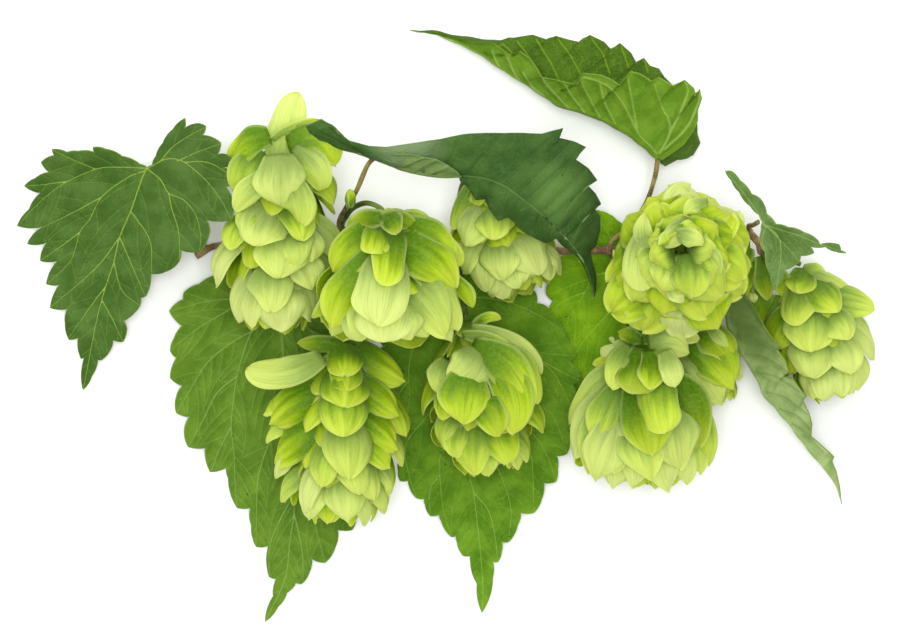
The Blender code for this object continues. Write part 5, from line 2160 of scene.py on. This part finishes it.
LOW_LEFT_LEAF_VEINS = [
    [
        (283, 300), (281.5, 329), (282.7, 348), (288, 420), (293, 496), (294, 513), (290, 541),
        (285, 579), (266, 620),
    ],
    [
        (283, 302), (260, 321), (252, 331), (245, 348), (237, 376), (233, 404), (231, 427), (234, 454),
        (235, 482), (237, 506),
    ],
    [(252, 331), (231, 343), (207, 363), (190, 390), (177, 412)],
    [(237, 376), (217, 393), (203, 420), (189, 446)], [(231, 427), (220, 448), (211, 471)],
    [(283, 301), (250, 300), (215, 318), (190, 334), (171, 350)], [(262, 300), (215, 300), (170, 311)],
    [(281, 299), (262, 285), (241, 267)], [(288, 415), (270, 442), (261, 466), (257, 489), (256, 546)],
    [(293, 496), (280, 520), (270, 545), (269, 576)],
    [(284, 303), (310, 330), (335, 365), (352, 410), (373, 461)],
    [(288, 400), (315, 440), (340, 480), (353, 521)], [(292, 470), (310, 510), (325, 562)],
    [(294, 513), (302, 550), (303, 583)], [(285, 302), (320, 310), (351, 338)],
    [(310, 330), (345, 350), (365, 378)],
]
LOW_MIDDLE_LEAF_VEINS = [
    [
        (452, 295), (458, 340), (463, 400), (469, 471), (473.5, 492.5), (477, 521), (480, 549),
        (483, 584), (482, 611),
    ],
    [(463, 415), (442, 450), (440, 475), (443, 508), (451, 536)],
    [(460, 375), (428, 415), (406, 445), (409, 475), (416, 497)],
    [(455, 320), (435, 322), (418, 334), (409, 367), (409, 401), (400, 435)],
    [(452, 298), (425, 292), (393, 289)], [(453, 303), (410, 312), (378, 328)],
    [(409, 380), (395, 400), (387, 424)],
    [(466, 430), (486, 448), (496, 465), (505, 486), (511, 510), (509, 541)],
    [(463, 395), (500, 420), (528, 448), (533, 475), (534, 512)],
    [(500, 420), (530, 432), (546, 453), (556, 481)], [(473, 492), (488, 510), (495, 535), (498, 561)],
    [(440, 475), (430, 490), (430, 515)],
    [(453, 297), (475, 297), (503, 301), (524, 308), (542, 317), (562, 330)],
    [(503, 301), (520, 294), (535, 293)], [(475, 297), (485, 285), (494, 277)],
    [(457, 330), (500, 340), (540, 352), (575, 356)],
    [(500, 340), (525, 350), (542, 363), (557, 378), (579, 423)], [(540, 360), (562, 372), (580, 381)],
    [(460, 365), (505, 385), (541, 406), (555, 419), (567, 453)],
]
BEHIND_LEAF_VEINS = [
    [(628, 264), (630, 310), (636, 370), (644, 420), (647, 459)], [(626, 262), (612, 240), (596, 212)],
    [(628, 264), (632, 254), (639, 241)], [(627, 266), (591, 278), (572, 285), (550, 294)],
    [(600, 275), (580, 262), (573, 238)], [(627, 268), (596, 275), (585, 292), (576, 307), (559, 336)],
    [(629, 290), (611, 310), (594, 329), (582, 343), (561, 379)], [(632, 325), (610, 355), (586, 415)],
    [(635, 365), (620, 395), (603, 431)], [(638, 385), (652, 405), (663, 427)],
    [(629, 268), (655, 262), (691, 263)], [(630, 290), (665, 300), (698, 329)],
    [(633, 330), (660, 345), (677, 393)], [(585, 292), (565, 300), (546, 316)],
]
SMALL_LEAF_VEINS = [
    [(764, 225), (778, 236), (781, 256), (776, 289)], [(765, 225), (795, 234), (820, 244), (845, 252)],
    [(764, 224), (752, 204), (728, 173)], [(770, 230), (790, 250), (798, 261)],
    [(766, 226), (762, 240), (765, 251)],
]

# Radius of a cone at each of its tiers, as a share of the greatest, from the stalk to the tip

OVOID = (0.50, 0.80, 0.97, 1.0, 0.93, 0.80, 0.56)
BELL = (0.38, 0.60, 0.78, 0.92, 1.0, 0.95, 0.66)
ROSETTE = (0.62, 0.88, 1.0, 0.98, 0.82, 0.60, 0.34)

# A row of a BRACTS table has its tip's x and y, its width and length in pixels, its direction in degrees, its
# tip's lift in millimetres and its tone. A row of a FREE table has a FreeBract's values as far as it needs
# them, and its cut last

TALL_BRACTS = [
    (302, 241, 36, 44, 10, 1.2, -0.2), (256, 246, 50, 46, -14, 1.8, 0.2),
    (243, 234, 29, 36, -25, 1, -0.1), (297, 267, 43, 48, 8, 1.5, 0.0), (312, 262, 36, 42, 16, 1.2, 0.1),
    (313, 288, 36, 44, 16, 1.2, 0.1), (337, 262, 31, 46, 16, 1, 0.2), (329, 288, 31, 44, 12, 1, 0.0),
    (217, 287, 29, 62, -10, 2, 0.4), (279, 278, 55, 58, -2, 2, 0.1), (239, 323, 26, 58, -6, 1.5, 0.2),
    (252, 328, 26, 54, -2, 1.2, 0.1), (271, 311, 46, 50, 0, 1.4, 0.0), (279, 331, 53, 48, 2, 1.2, 0.4),
    (310, 320, 36, 48, 10, 1, 0.5), (333, 205, 34, 46, 24, 0.8, -0.2), (232, 250, 31, 46, -12, 0.8, -0.2),
]
TALL_FREE = (
    ((283, 164, 30), (299, 93, 28), 40, 0.9, 0.5, -5, 10),
    ((272, 140, 33), (320, 120, 32), 14, 0.6, 1.5, -3, 50),
    ((270, 136, 33), (228, 166, 27), 36, 0.1, 4, 8, 20), ((262, 150, 32), (240, 196, 30), 34, 0.3, 4, 6),
    ((288, 146, 32), (336, 164, 30), 40, 0.2, 6, -16, -10),
    ((292, 152, 34), (320, 190, 33), 36, 0.6, 4, -6, 15, BLUNT_CUT),
    ((276, 172, 35), (235, 211, 34), 28, 0.6, 3, 4, -12),
    ((286, 176, 36), (299, 225, 35), 40, 0.5, 4, -4, 8),
    ((279, 154, 38), (280, 205, 38), 52, 0.7, 4, SQUARE_CUT),
)
BROAD_FREE = (
    ((398, 224, 33), (461, 266, 32), 34, 0.3, 4, -6),
    ((440, 268, 38), (472, 307, 33), 20, 0.1, 2, -3, 30), ((376, 217, 30), (347, 226, 27), 22, 0.1, 2),
    ((394, 219, 31), (431, 221, 28), 16, 0.3, 2, -2), ((388, 216, 30), (389, 208, 28), 12, -0.2, 1),
    ((345, 285, 42), (314, 318, 34), 26, 0.3, 2, -3, -20),
    ((350, 300, 42), (332, 336, 36), 26, 0.5, 2, -2, -20),
    ((348, 306, 43), (362, 341, 43), 14, 0.7, 1, 8, 30),
    ((424, 296, 38), (452, 342, 38), 30, 0.7, 2, POINTED_CUT),
    ((412, 300, 42), (427, 337, 42), 34, 0.6, 2), ((372, 300, 43), (357, 340, 43), 32, 0.6, 2),
    ((400, 300, 44), (411, 340, 46), 38, 0.7, 2), ((386, 286, 43), (384, 342, 49), 66, 1.0, 2, BLUNT_CUT),
    ((410, 268, 41), (456, 330, 40), 42, 0.5, 4, -6), ((398, 276, 42), (446, 336, 43), 48, 0.5, 4, -4),
    ((378, 254, 44), (332, 328, 41), 46, 0.1, 4, 6), ((388, 256, 45), (378, 326, 52), 62, 0.8, 3, 0),
    ((396, 244, 42), (455, 288, 43), 46, -0.1, 5, -8), ((384, 228, 38), (333, 272, 38), 40, -0.3, 5, 7),
    ((396, 228, 39), (456, 270, 40), 44, -0.2, 6, -7), ((392, 226, 40), (383, 286, 54), 38, 0.1, 3, -2),
    ((384, 220, 37), (374, 254, 51), 30, 0.1, 2, 2, BLUNT_CUT),
    ((390, 219, 46), (352, 221, 39), 19, -0.8, 2, 2), ((380, 218, 46), (417, 226, 41), 19, -0.9, 2, -2),
    ((384, 214, 45), (397, 234, 47), 24, -0.8, 1, -2),
)
UNDER_LEAF_BRACTS = [
    (454, 230, 26, 48, -8, 1, 0.0), (466, 246, 41, 48, -20, 1.5, 0.3), (466, 274, 31, 46, -8, 1, 0.2),
    (492, 240, 38, 42, -2, 2, 0.0), (487, 291, 38, 56, 8, 1.4, 0.2), (504, 280, 43, 48, 10, 1.6, 0.1),
    (538, 275, 50, 54, 22, 1.6, 0.2), (560, 275, 31, 44, 14, 1, 0.3), (549, 280, 29, 42, 14, 1, 0.1),
    (492, 297, 29, 38, 2, 1, 0.3), (505, 298, 31, 36, 6, 1, 0.3), (519, 288, 34, 38, 10, 1, 0.1),
]
LOW_LEFT_BRACTS = [
    (298, 343, 20, 52, -82, 3, -0.9), (344.5, 376, 44, 44, 0, 2.4, 0.1), (347, 392, 38, 42, 2, 1.8, 0.1),
    (344.5, 408, 52, 48, 0, 2, 0.1), (343, 437, 54, 62, 0, 2, 0.1), (348.5, 479, 54, 72, 2, 2, 0.2),
    (358, 494, 40, 52, 8, 1.4, 0.2), (347, 521, 46, 52, 2, 1.2, 0.3), (363, 525, 28, 46, 10, 1, 0.3),
    (281, 386, 30, 50, -62, 2.5, -0.5), (272, 424, 46, 62, -50, 2.4, -0.2),
    (278, 464, 46, 60, -42, 2.2, -0.2), (307, 512, 28, 56, -10, 1.6, 0.6), (322, 487, 36, 50, -6, 1.6, 0.1),
    (310, 519, 32, 46, -10, 1, 0.4), (265, 416, 32, 52, -34, 1, 0.1), (268, 443, 26, 40, -22, 1, 0.2),
    (277, 478, 28, 42, -14, 1, 0.5), (283, 502, 30, 42, -10, 1, 0.1), (404, 382, 42, 62, 50, 3, 0.0),
    (386, 373, 26, 38, 44, 3.4, -0.5), (397, 416, 38, 56, 46, 2.4, -0.2), (404, 436, 42, 66, 24, 1.4, 0.0),
    (396, 450, 38, 54, 42, 2.2, -0.2), (388, 468, 36, 48, 34, 1.8, -0.1), (373, 500, 32, 50, 12, 1.6, 0.2),
    (383, 513, 28, 46, 12, 1, 0.2), (401, 466, 26, 46, 8, 1, 0.2), (388, 495, 24, 42, -6, 1, 0.2),
]
LOW_LEFT_FREE = (
    ((322, 356, 28), (248, 368, 25), 34, 0.6, 5, -9, 12, BLUNT_CUT),
)
LOW_MIDDLE_BRACTS = [
    (463, 337, 19, 18, -5, 1, 0.3),
    (440, 394, 24, 34, -20, 1, 0.1),
    (424, 415, 31, 64, -10, 1.5, 0.2), (462, 421, 53, 52, -10, 2, 0.3), (444, 420, 29, 42, -8, 1.2, 0.1),
    (542, 433, 29, 46, 14, 1.2, 0.3),
    (445, 449, 31, 46, -2, 1, 0.5), (457, 458, 29, 44, 2, 1, 0.4), (476, 474, 46, 60, 12, 1.5, 0.3),
    (489, 476, 26, 36, 8, 1, 0.4), (507, 464, 43, 56, 14, 1.4, 0.2), (518, 469, 31, 48, 14, 1, 0.4),
    (526, 462, 29, 44, 12, 1, 0.4),
]
LOW_MIDDLE_FREE = (
    ((474, 326, 29), (501, 319, 27), 12, 0.1, 2, -5), ((472, 328, 31), (541, 374, 25), 15, 0.6, 3, -12),
    ((462, 335, 31), (513, 356, 30), 17, 0.4, 3, -5, 25),
    ((486, 386, 33), (511, 432, 35), 50, -0.8, 3, -2), ((484, 346, 31), (537, 404, 31), 34, 0.2, 4, -10),
    ((476, 344, 33), (514, 434, 36), 42, -0.2, 5, -14), ((472, 346, 34), (530, 410, 36), 36, 0.1, 5, -12),
    ((476, 392, 36), (500, 436, 38), 36, -0.4, 3, -2), ((470, 366, 36), (463, 424, 38), 50, 0.1, 3, 2),
    ((480, 346, 34), (451, 384, 36), 44, 0.6, 4, -6, SQUARE_CUT),
    ((448, 360, 32), (439, 394, 32), 26, 0.5, 3, 3),
)
FACING_MIDDLE = (680, 248)
FACING_RINGS = (
    (
        0.45, 30, 28, 56,
        (
            (683, 335, 1.0), (718, 329, 0.0), (642, 330, 0.2), (612, 312, 0.1), (741, 294, 0.3),
            (610, 282, -0.2), (750, 268, 0.1), (617, 250, -0.2), (750, 240, 0.0), (627, 216, -0.2),
            (736, 212, 0.9), (648, 198, -0.1), (714, 199, 0.2), (668, 189, 0.0), (690, 188, 0.9),
        ),
    ),
    (
        0.30, 36, 35, 56,
        (
            (706, 316, 0.2), (664, 314, 0.0), (742, 280, 0.2), (634, 300, 0.3), (743, 246, 0.0),
            (626, 268, 0.1), (730, 214, 0.0), (636, 230, -0.2), (660, 204, 0.1), (694, 200, 0.2),
        ),
    ),
    (
        0.22, 40, 40, 50,
        (
            (722, 296, 0.3), (728, 262, 0.1), (668, 300, 0.4), (642, 282, 0.4), (718, 230, 0.0),
            (646, 244, 0.3), (684, 214, 0.2),
        ),
    ),
    (
        0.15, 40, 44, 38,
        (
            (712, 284, 0.3), (662, 290, 0.4), (714, 256, 0.4), (654, 262, 0.3), (700, 228, 0.2),
            (668, 232, 0.3),
        ),
    ),
)
FACING_OVER = (
    ((648, 250, 40), (645, 213, 40), 20, 0.6, 1.5, -3, POINTED_CUT),
    ((650, 228, 40), (644, 291, 41), 36, 0.6, 2, 5, ROUND_CUT),
    ((688, 218, 43), (654, 244, 43), 22, 0.5, 3, -5), ((708, 202, 40), (684, 214, 41), 15, 0.6, 2, 3),
    ((668, 288, 43), (684, 302, 42), 14, 0.9, 1), ((688, 252, 42), (692, 297, 45), 42, 0.3, 4, BLUNT_CUT),
    ((674, 235, 45), (703, 245, 47), 19, 0.6, 2, -3), ((700, 246, 44), (718, 276, 43), 16, 0.5, 2, -6),
)
BELL_FREE = (
    ((642, 340, 22), (618, 332, 19), 18, -0.6, 2), ((640, 338, 21), (664, 326, 18), 26, -0.5, 2),
    ((625, 342, 22), (601, 348, 20), 30, 1.0, 2, -8),
    ((632, 344, 23), (593, 363, 20), 14, -0.1, 2, -3, 30),
    ((650, 337, 23), (698, 340, 20), 26, 0.5, 3, -4), ((648, 344, 25), (689, 353, 25), 34, 0.6, 4, -4),
    ((628, 430, 26), (613, 489, 26), 38, 0.9, 3, 2, POINTED_CUT),
    ((640, 430, 28), (633, 488, 28), 38, 0.9, 3, POINTED_CUT),
    ((660, 430, 28), (669, 491, 26), 38, 0.9, 3, POINTED_CUT),
    ((672, 430, 25), (687, 484, 23), 34, 0.9, 3, -4, POINTED_CUT),
    ((622, 366, 25), (569, 424, 21), 34, 0.5, 4, 3, POINTED_CUT),
    ((612, 384, 26), (574, 459, 22), 34, 0.7, 3, 2, POINTED_CUT),
    ((604, 396, 27), (588, 474, 24), 30, 0.5, 3, 2, POINTED_CUT),
    ((690, 420, 24), (700, 474, 22), 30, 0.5, 3, -2, POINTED_CUT),
    ((680, 404, 27), (709, 466, 22), 42, 0.3, 4, -5, POINTED_CUT),
    ((624, 410, 30), (596, 481, 28), 50, 0.7, 4, 2, POINTED_CUT),
    ((636, 416, 31), (652, 480, 34), 50, 0.5, 3, POINTED_CUT),
    ((668, 402, 32), (679, 469, 31), 46, 0.6, 4, -2), ((668, 376, 29), (699, 446, 28), 42, -0.7, 5, -8),
    ((620, 384, 29), (594, 446, 30), 34, 0.3, 4, 3, POINTED_CUT),
    ((626, 396, 29), (616, 474, 31), 42, 0.7, 3, 1, POINTED_CUT),
    ((636, 380, 30), (652, 456, 38), 50, -0.5, 3, -2), ((632, 346, 27), (612, 389, 35), 34, 0.4, 3, 2),
    ((654, 364, 30), (665, 433, 40), 42, 0.2, 3, 2, BLUNT_CUT),
    ((645, 348, 28), (634, 394, 37), 42, -0.7, 3, SQUARE_CUT),
    ((664, 350, 34), (675, 387, 39), 24, 0.7, 3, -2, BLUNT_CUT),
    ((648, 350, 30), (650, 390, 38), 26, -0.3, 2, -2),
)
BEHIND_FREE = (
    ((728, 350, 14), (740, 380, 11), 12, 0.8, 1),
    ((680, 348, 14), (697, 409, 15), 46, 0.8, 3, POINTED_CUT),
    ((684, 346, 15), (722, 404, 15), 48, 0.6, 3, -2, POINTED_CUT),
    ((690, 338, 16), (734, 390, 16), 48, 0.1, 3, -4, POINTED_CUT),
    ((694, 324, 16), (731, 363, 17), 36, -0.4, 3, -6), ((706, 326, 18), (729, 353, 18), 14, 0.5, 2, -3),
)
# Dark bracts on the far cone's left side, by the young shoot: their low tones are partly the green of young
# bracts and partly painted shade, for that side lies in deep shade
FAR_FREE = (
    ((762, 282, 14), (758, 330, 11), 24, -0.7, 2), ((782, 296, 14), (772, 350, 10), 30, -0.6, 2),
    ((752, 258, 18), (746, 298, 15), 18, -0.5, 2), ((760, 256, 20), (768, 300, 16), 20, -0.7, 2),
    ((750, 248, 19), (741, 272, 16), 16, -0.3, 2), ((770, 262, 17), (788, 298, 15), 24, -0.5, 2),
    ((752, 292, 17), (755, 303, 16), 8, 0.8, 1),
)
FAR_BRACTS = [
    (797, 293, 34, 36, -5, 1, 0.1), (825, 273, 17, 28, 65, 1, 0.4), (797, 326, 41, 46, -2, 1.4, 0.1),
    (837, 313, 38, 44, 35, 1.8, 0.0), (852, 292, 17, 52, 66, 1.5, 0.4), (874, 309, 31, 44, 68, 2, 0.2),
    (847, 340, 36, 38, 25, 1.4, 0.2), (873, 360, 36, 56, 22, 1.5, 0.4), (811, 352, 55, 50, 0, 1.8, 0.1),
    (814, 378, 50, 46, 4, 1.4, 0.2), (851, 374, 38, 44, 14, 1.2, 0.3), (858, 390, 34, 50, 4, 1, 0.2),
    (813, 399, 31, 38, -4, 1, 0.2), (827, 400, 34, 40, 2, 1, 0.3), (841, 396, 29, 40, 6, 1, 0.3),
    # The last two bracts in the next row lie on the cone's left side in deep shade, and their low tones are
    # painted shade
    (848, 394, 26, 38, 8, 1, 0.3), (776, 350, 41, 46, -12, 1, -0.5), (790, 374, 36, 44, -8, 1, -0.3),
]


def rosette(middle: Spot, rings: tuple[tuple, ...]) -> tuple[tuple, ...]:
    """Bracts that lie open round the end of a cone, tier over tier.

    Args:
        middle: The pixel that they point away from.
        rings: For each tier, how far its roots stand off towards the tips, the heights of its roots and its
            tips, its bracts' width in pixels, and each tip's pixel and tone.

    Returns:
        A row of a FreeBract's values for each bract.
    """
    rows = []
    for share, root_height, tip_height, width, tips in rings:
        for x, y, tone in tips:
            root = (middle[0] + (x - middle[0]) * share, middle[1] + (y - middle[1]) * share, root_height)
            rows.append((root, (x, y, tip_height), width, tone, 4.0, ROUND_CUT))
    return tuple(rows)


def leaves() -> list[OpenLeaf | FoldedLeaf]:
    """The sprig's eight leaf blades.

    Returns:
        The blades, ready to be built.
    """
    return [
        OpenLeaf(
            "leaf_left", "dark_leaf", LEFT_LEAF_OUTLINE, LEFT_LEAF_PEGS, LEFT_LEAF_VEINS, Side.UPPER,
            DARK_UPPER, DARK_UNDER, gap=17.0,
        ),
        OpenLeaf(
            "leaf_low_left", "mid_leaf", LOW_LEFT_LEAF_OUTLINE, LOW_LEFT_LEAF_PEGS, LOW_LEFT_LEAF_VEINS,
            Side.UNDER, MID_UPPER, MID_UNDER, gap=15.0, seed=2,
        ),
        OpenLeaf(
            "leaf_low_middle", "mid_leaf", LOW_MIDDLE_LEAF_OUTLINE, LOW_MIDDLE_LEAF_PEGS,
            LOW_MIDDLE_LEAF_VEINS, Side.UPPER, MID_UPPER, MID_UNDER, gap=14.0, seed=3,
        ),
        OpenLeaf(
            "leaf_behind", "mid_leaf", BEHIND_LEAF_OUTLINE, BEHIND_LEAF_PEGS, BEHIND_LEAF_VEINS, Side.UPPER,
            SHADE_LIFTED_UPPER, MID_UNDER, seed=4,
        ),
        OpenLeaf(
            "leaf_small", "dark_leaf", SMALL_LEAF_OUTLINE, SMALL_LEAF_PEGS, SMALL_LEAF_VEINS, Side.UPPER,
            SMALL_UPPER, DARK_UNDER, gap=9.0, spacing=1.6, seed=5,
        ),
        FoldedLeaf(
            "leaf_twisted", "dark_leaf", TWISTED_LEAF_ROWS, 0.8, Side.UPPER, TWISTED_UPPER, DARK_UNDER,
        ),
        FoldedLeaf(
            "leaf_top", "mid_leaf", TOP_LEAF_ROWS, 0.0, Side.UNDER, FAR_UPPER, TOP_UNDER, TOP_LEAF_VEINS,
            steps=8, across=40,
        ),
        FoldedLeaf(
            "leaf_narrow", "dark_leaf", NARROW_LEAF_ROWS, 0.0, Side.UNDER, FAR_UPPER, NARROW_UNDER,
            NARROW_LEAF_VEINS, steps=8, across=32,
        ),
    ]


def cones() -> list[Cone]:
    """The sprig's nine cones.

    Returns:
        The cones, ready to be built.
    """
    return [
        Cone(
            "cone_tall", (288, 136, 23.5), (272, 328, 21.5), 14.6, OVOID, 0.2, TALL_BRACTS, TALL_FREE,
            FLAT_CUT, shade=0.42, seed=11,
        ),
        Cone(
            "cone_broad", (388, 222, 27), (383, 322, 44), 18.2, BELL, 0.5, [], BROAD_FREE,
            tuck=0.6, last_ring=0.88, seed=12,
        ),
        Cone(
            "cone_under_leaf", (474, 184, 16.5), (527, 290, 18), 13.2, OVOID, 0.1, UNDER_LEAF_BRACTS,
            shade=0.35, seed=13,
        ),
        Cone(
            "cone_low_left", (343, 342, 20.5), (336, 519, 19), 15.8, OVOID, 0.3, LOW_LEFT_BRACTS,
            LOW_LEFT_FREE, KEELED_CUT, shade=0.12, seed=14,
        ),
        Cone(
            "cone_low_middle", (466, 322, 18.5), (490, 470, 18), 14.0, OVOID, 0.0, LOW_MIDDLE_BRACTS,
            LOW_MIDDLE_FREE, shade=-0.3, seed=15,
        ),
        Cone(
            "cone_facing", (682, 266, 10), (677, 250, 47), 17.4, ROSETTE, 0.4, [],
            rosette(FACING_MIDDLE, FACING_RINGS) + FACING_OVER, tuck=0.9, last_ring=0.62, rings=6, seed=16,
        ),
        Cone(
            "cone_bell", (640, 346, 22), (638, 482, 19), 16.4, BELL, 0.25, [], BELL_FREE, tuck=0.65, seed=17,
        ),
        Cone("cone_behind", (694, 326, 9.2), (722, 400, 9.2), 8.0, OVOID, 0.1, [], BEHIND_FREE, seed=18),
        Cone(
            "cone_far", (804, 268, 15.5), (834, 396, 14.5), 12.2, OVOID, 0.6, FAR_BRACTS, FAR_FREE,
            shade=0.25, seed=19,
        ),
    ]


def stems() -> list[Stem]:
    """The bine's stretches, the leaf stalks, the cone stalks and the young shoot.

    Returns:
        The stems, each with a seed of its own.
    """
    made = []
    for node, route in BINE.items():
        made.append(Stem(node, "bine", route, BINE_RADIUS, BINE_BARK, swell=NODE_RADIUS))
    for node, route in LEAF_STALKS.items():
        made.append(Stem(node, "bine", route, LEAF_STALK_RADIUS, PETIOLE_BARK, ridges=3))
    for node, route in CONE_STALKS.items():
        made.append(Stem(node, "stalk", route, CONE_STALK_RADIUS, STALK_BARK, ridges=4, hairs=4e5))
    made.append(Stem("young_shoot", "stalk", SHOOT, CONE_STALK_RADIUS, STALK_BARK, ridges=4, hairs=4e5))
    for number, stem in enumerate(made):
        stem.seed = number + 1
    return made


def build_bud() -> None:
    """Makes the bud: three close scales round a leaf stalk's side."""
    skin = Skin()
    rng = np.random.default_rng(31)
    middle = VIEW.points([BUD_PLACE])[0]
    axis = np.array([0, 1.0, 0])
    for turn in BUD_TURNS:
        out = np.array([math.sin(turn), 0, math.cos(turn)])
        control = np.array([
            middle - axis * BUD_LENGTH / 2,
            middle - axis * BUD_LENGTH / 4 + out * BUD_RADIUS,
            middle + axis * BUD_LENGTH / 4 + out * BUD_RADIUS,
            middle + axis * BUD_LENGTH / 2,
        ])
        Bract(control, out, BUD_SCALE_WIDTH, -0.2, BUD_CUT).lay(skin, rng)
    skin.piece("bud_scales", "bud", "stalk", (BRACT_PAPER,))


class Studio:
    """The table, the light and the camera."""

    def build(self) -> None:
        """Sets up the studio."""
        VIEW.set_camera()
        self.table()
        self.light("key", (-0.35, 0.45, 0.9), size=1.1, power=5.0)
        self.light("overhead", (0.05, 0.0, 1.7), size=0.6, power=17.0)
        world = bpy.data.worlds.new("studio")
        world.use_nodes = True
        sky = world.node_tree.nodes["Background"]
        sky.inputs["Color"].default_value = (1.0, 1.0, 1.0, 1)
        sky.inputs["Strength"].default_value = 0.75
        bpy.context.scene.world = world
        bpy.context.scene.view_settings.view_transform = "Standard"

    @staticmethod
    def table() -> None:
        """A wide pale floor that the sprig lies on."""
        mesh = bpy.data.meshes.new("table_top")
        reach = 3.0
        corners = [(-reach, -reach, 0), (reach, -reach, 0), (reach, reach, 0), (-reach, reach, 0)]
        mesh.from_pydata(corners, [], [(0, 1, 2, 3)])
        white = PlainFinish("table_white", (0.95, 0.95, 0.95), (0.97, 0.97, 0.97))
        mesh.materials.append(Finishes.get(white))
        floor = put("table_top", mesh)

    @staticmethod
    def light(name: str, place: Place, size: float, power: float) -> None:
        """A square lamp turned to the sprig.

        Args:
            name: The lamp's name.
            place: Where it hangs.
            size: Its side.
            power: Its power in watts.
        """
        data = bpy.data.lights.new(name, "AREA")
        data.size = size
        data.energy = power
        lamp = put(name, data)
        lamp.location = place
        lamp.rotation_euler = Vector(place).to_track_quat("Z", "Y").to_euler()


def main() -> None:
    """Builds the sprig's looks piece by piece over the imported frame."""
    logging.basicConfig(level=logging.INFO, format="%(name)s %(message)s")
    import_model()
    Studio().build()
    for leaf in leaves():
        leaf.build()
    for cone in cones():
        cone.build()
    trees = StemTree()
    for stem in stems():
        stem.build(trees)
    build_bud()
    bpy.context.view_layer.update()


if __name__ == "__main__":
    main()
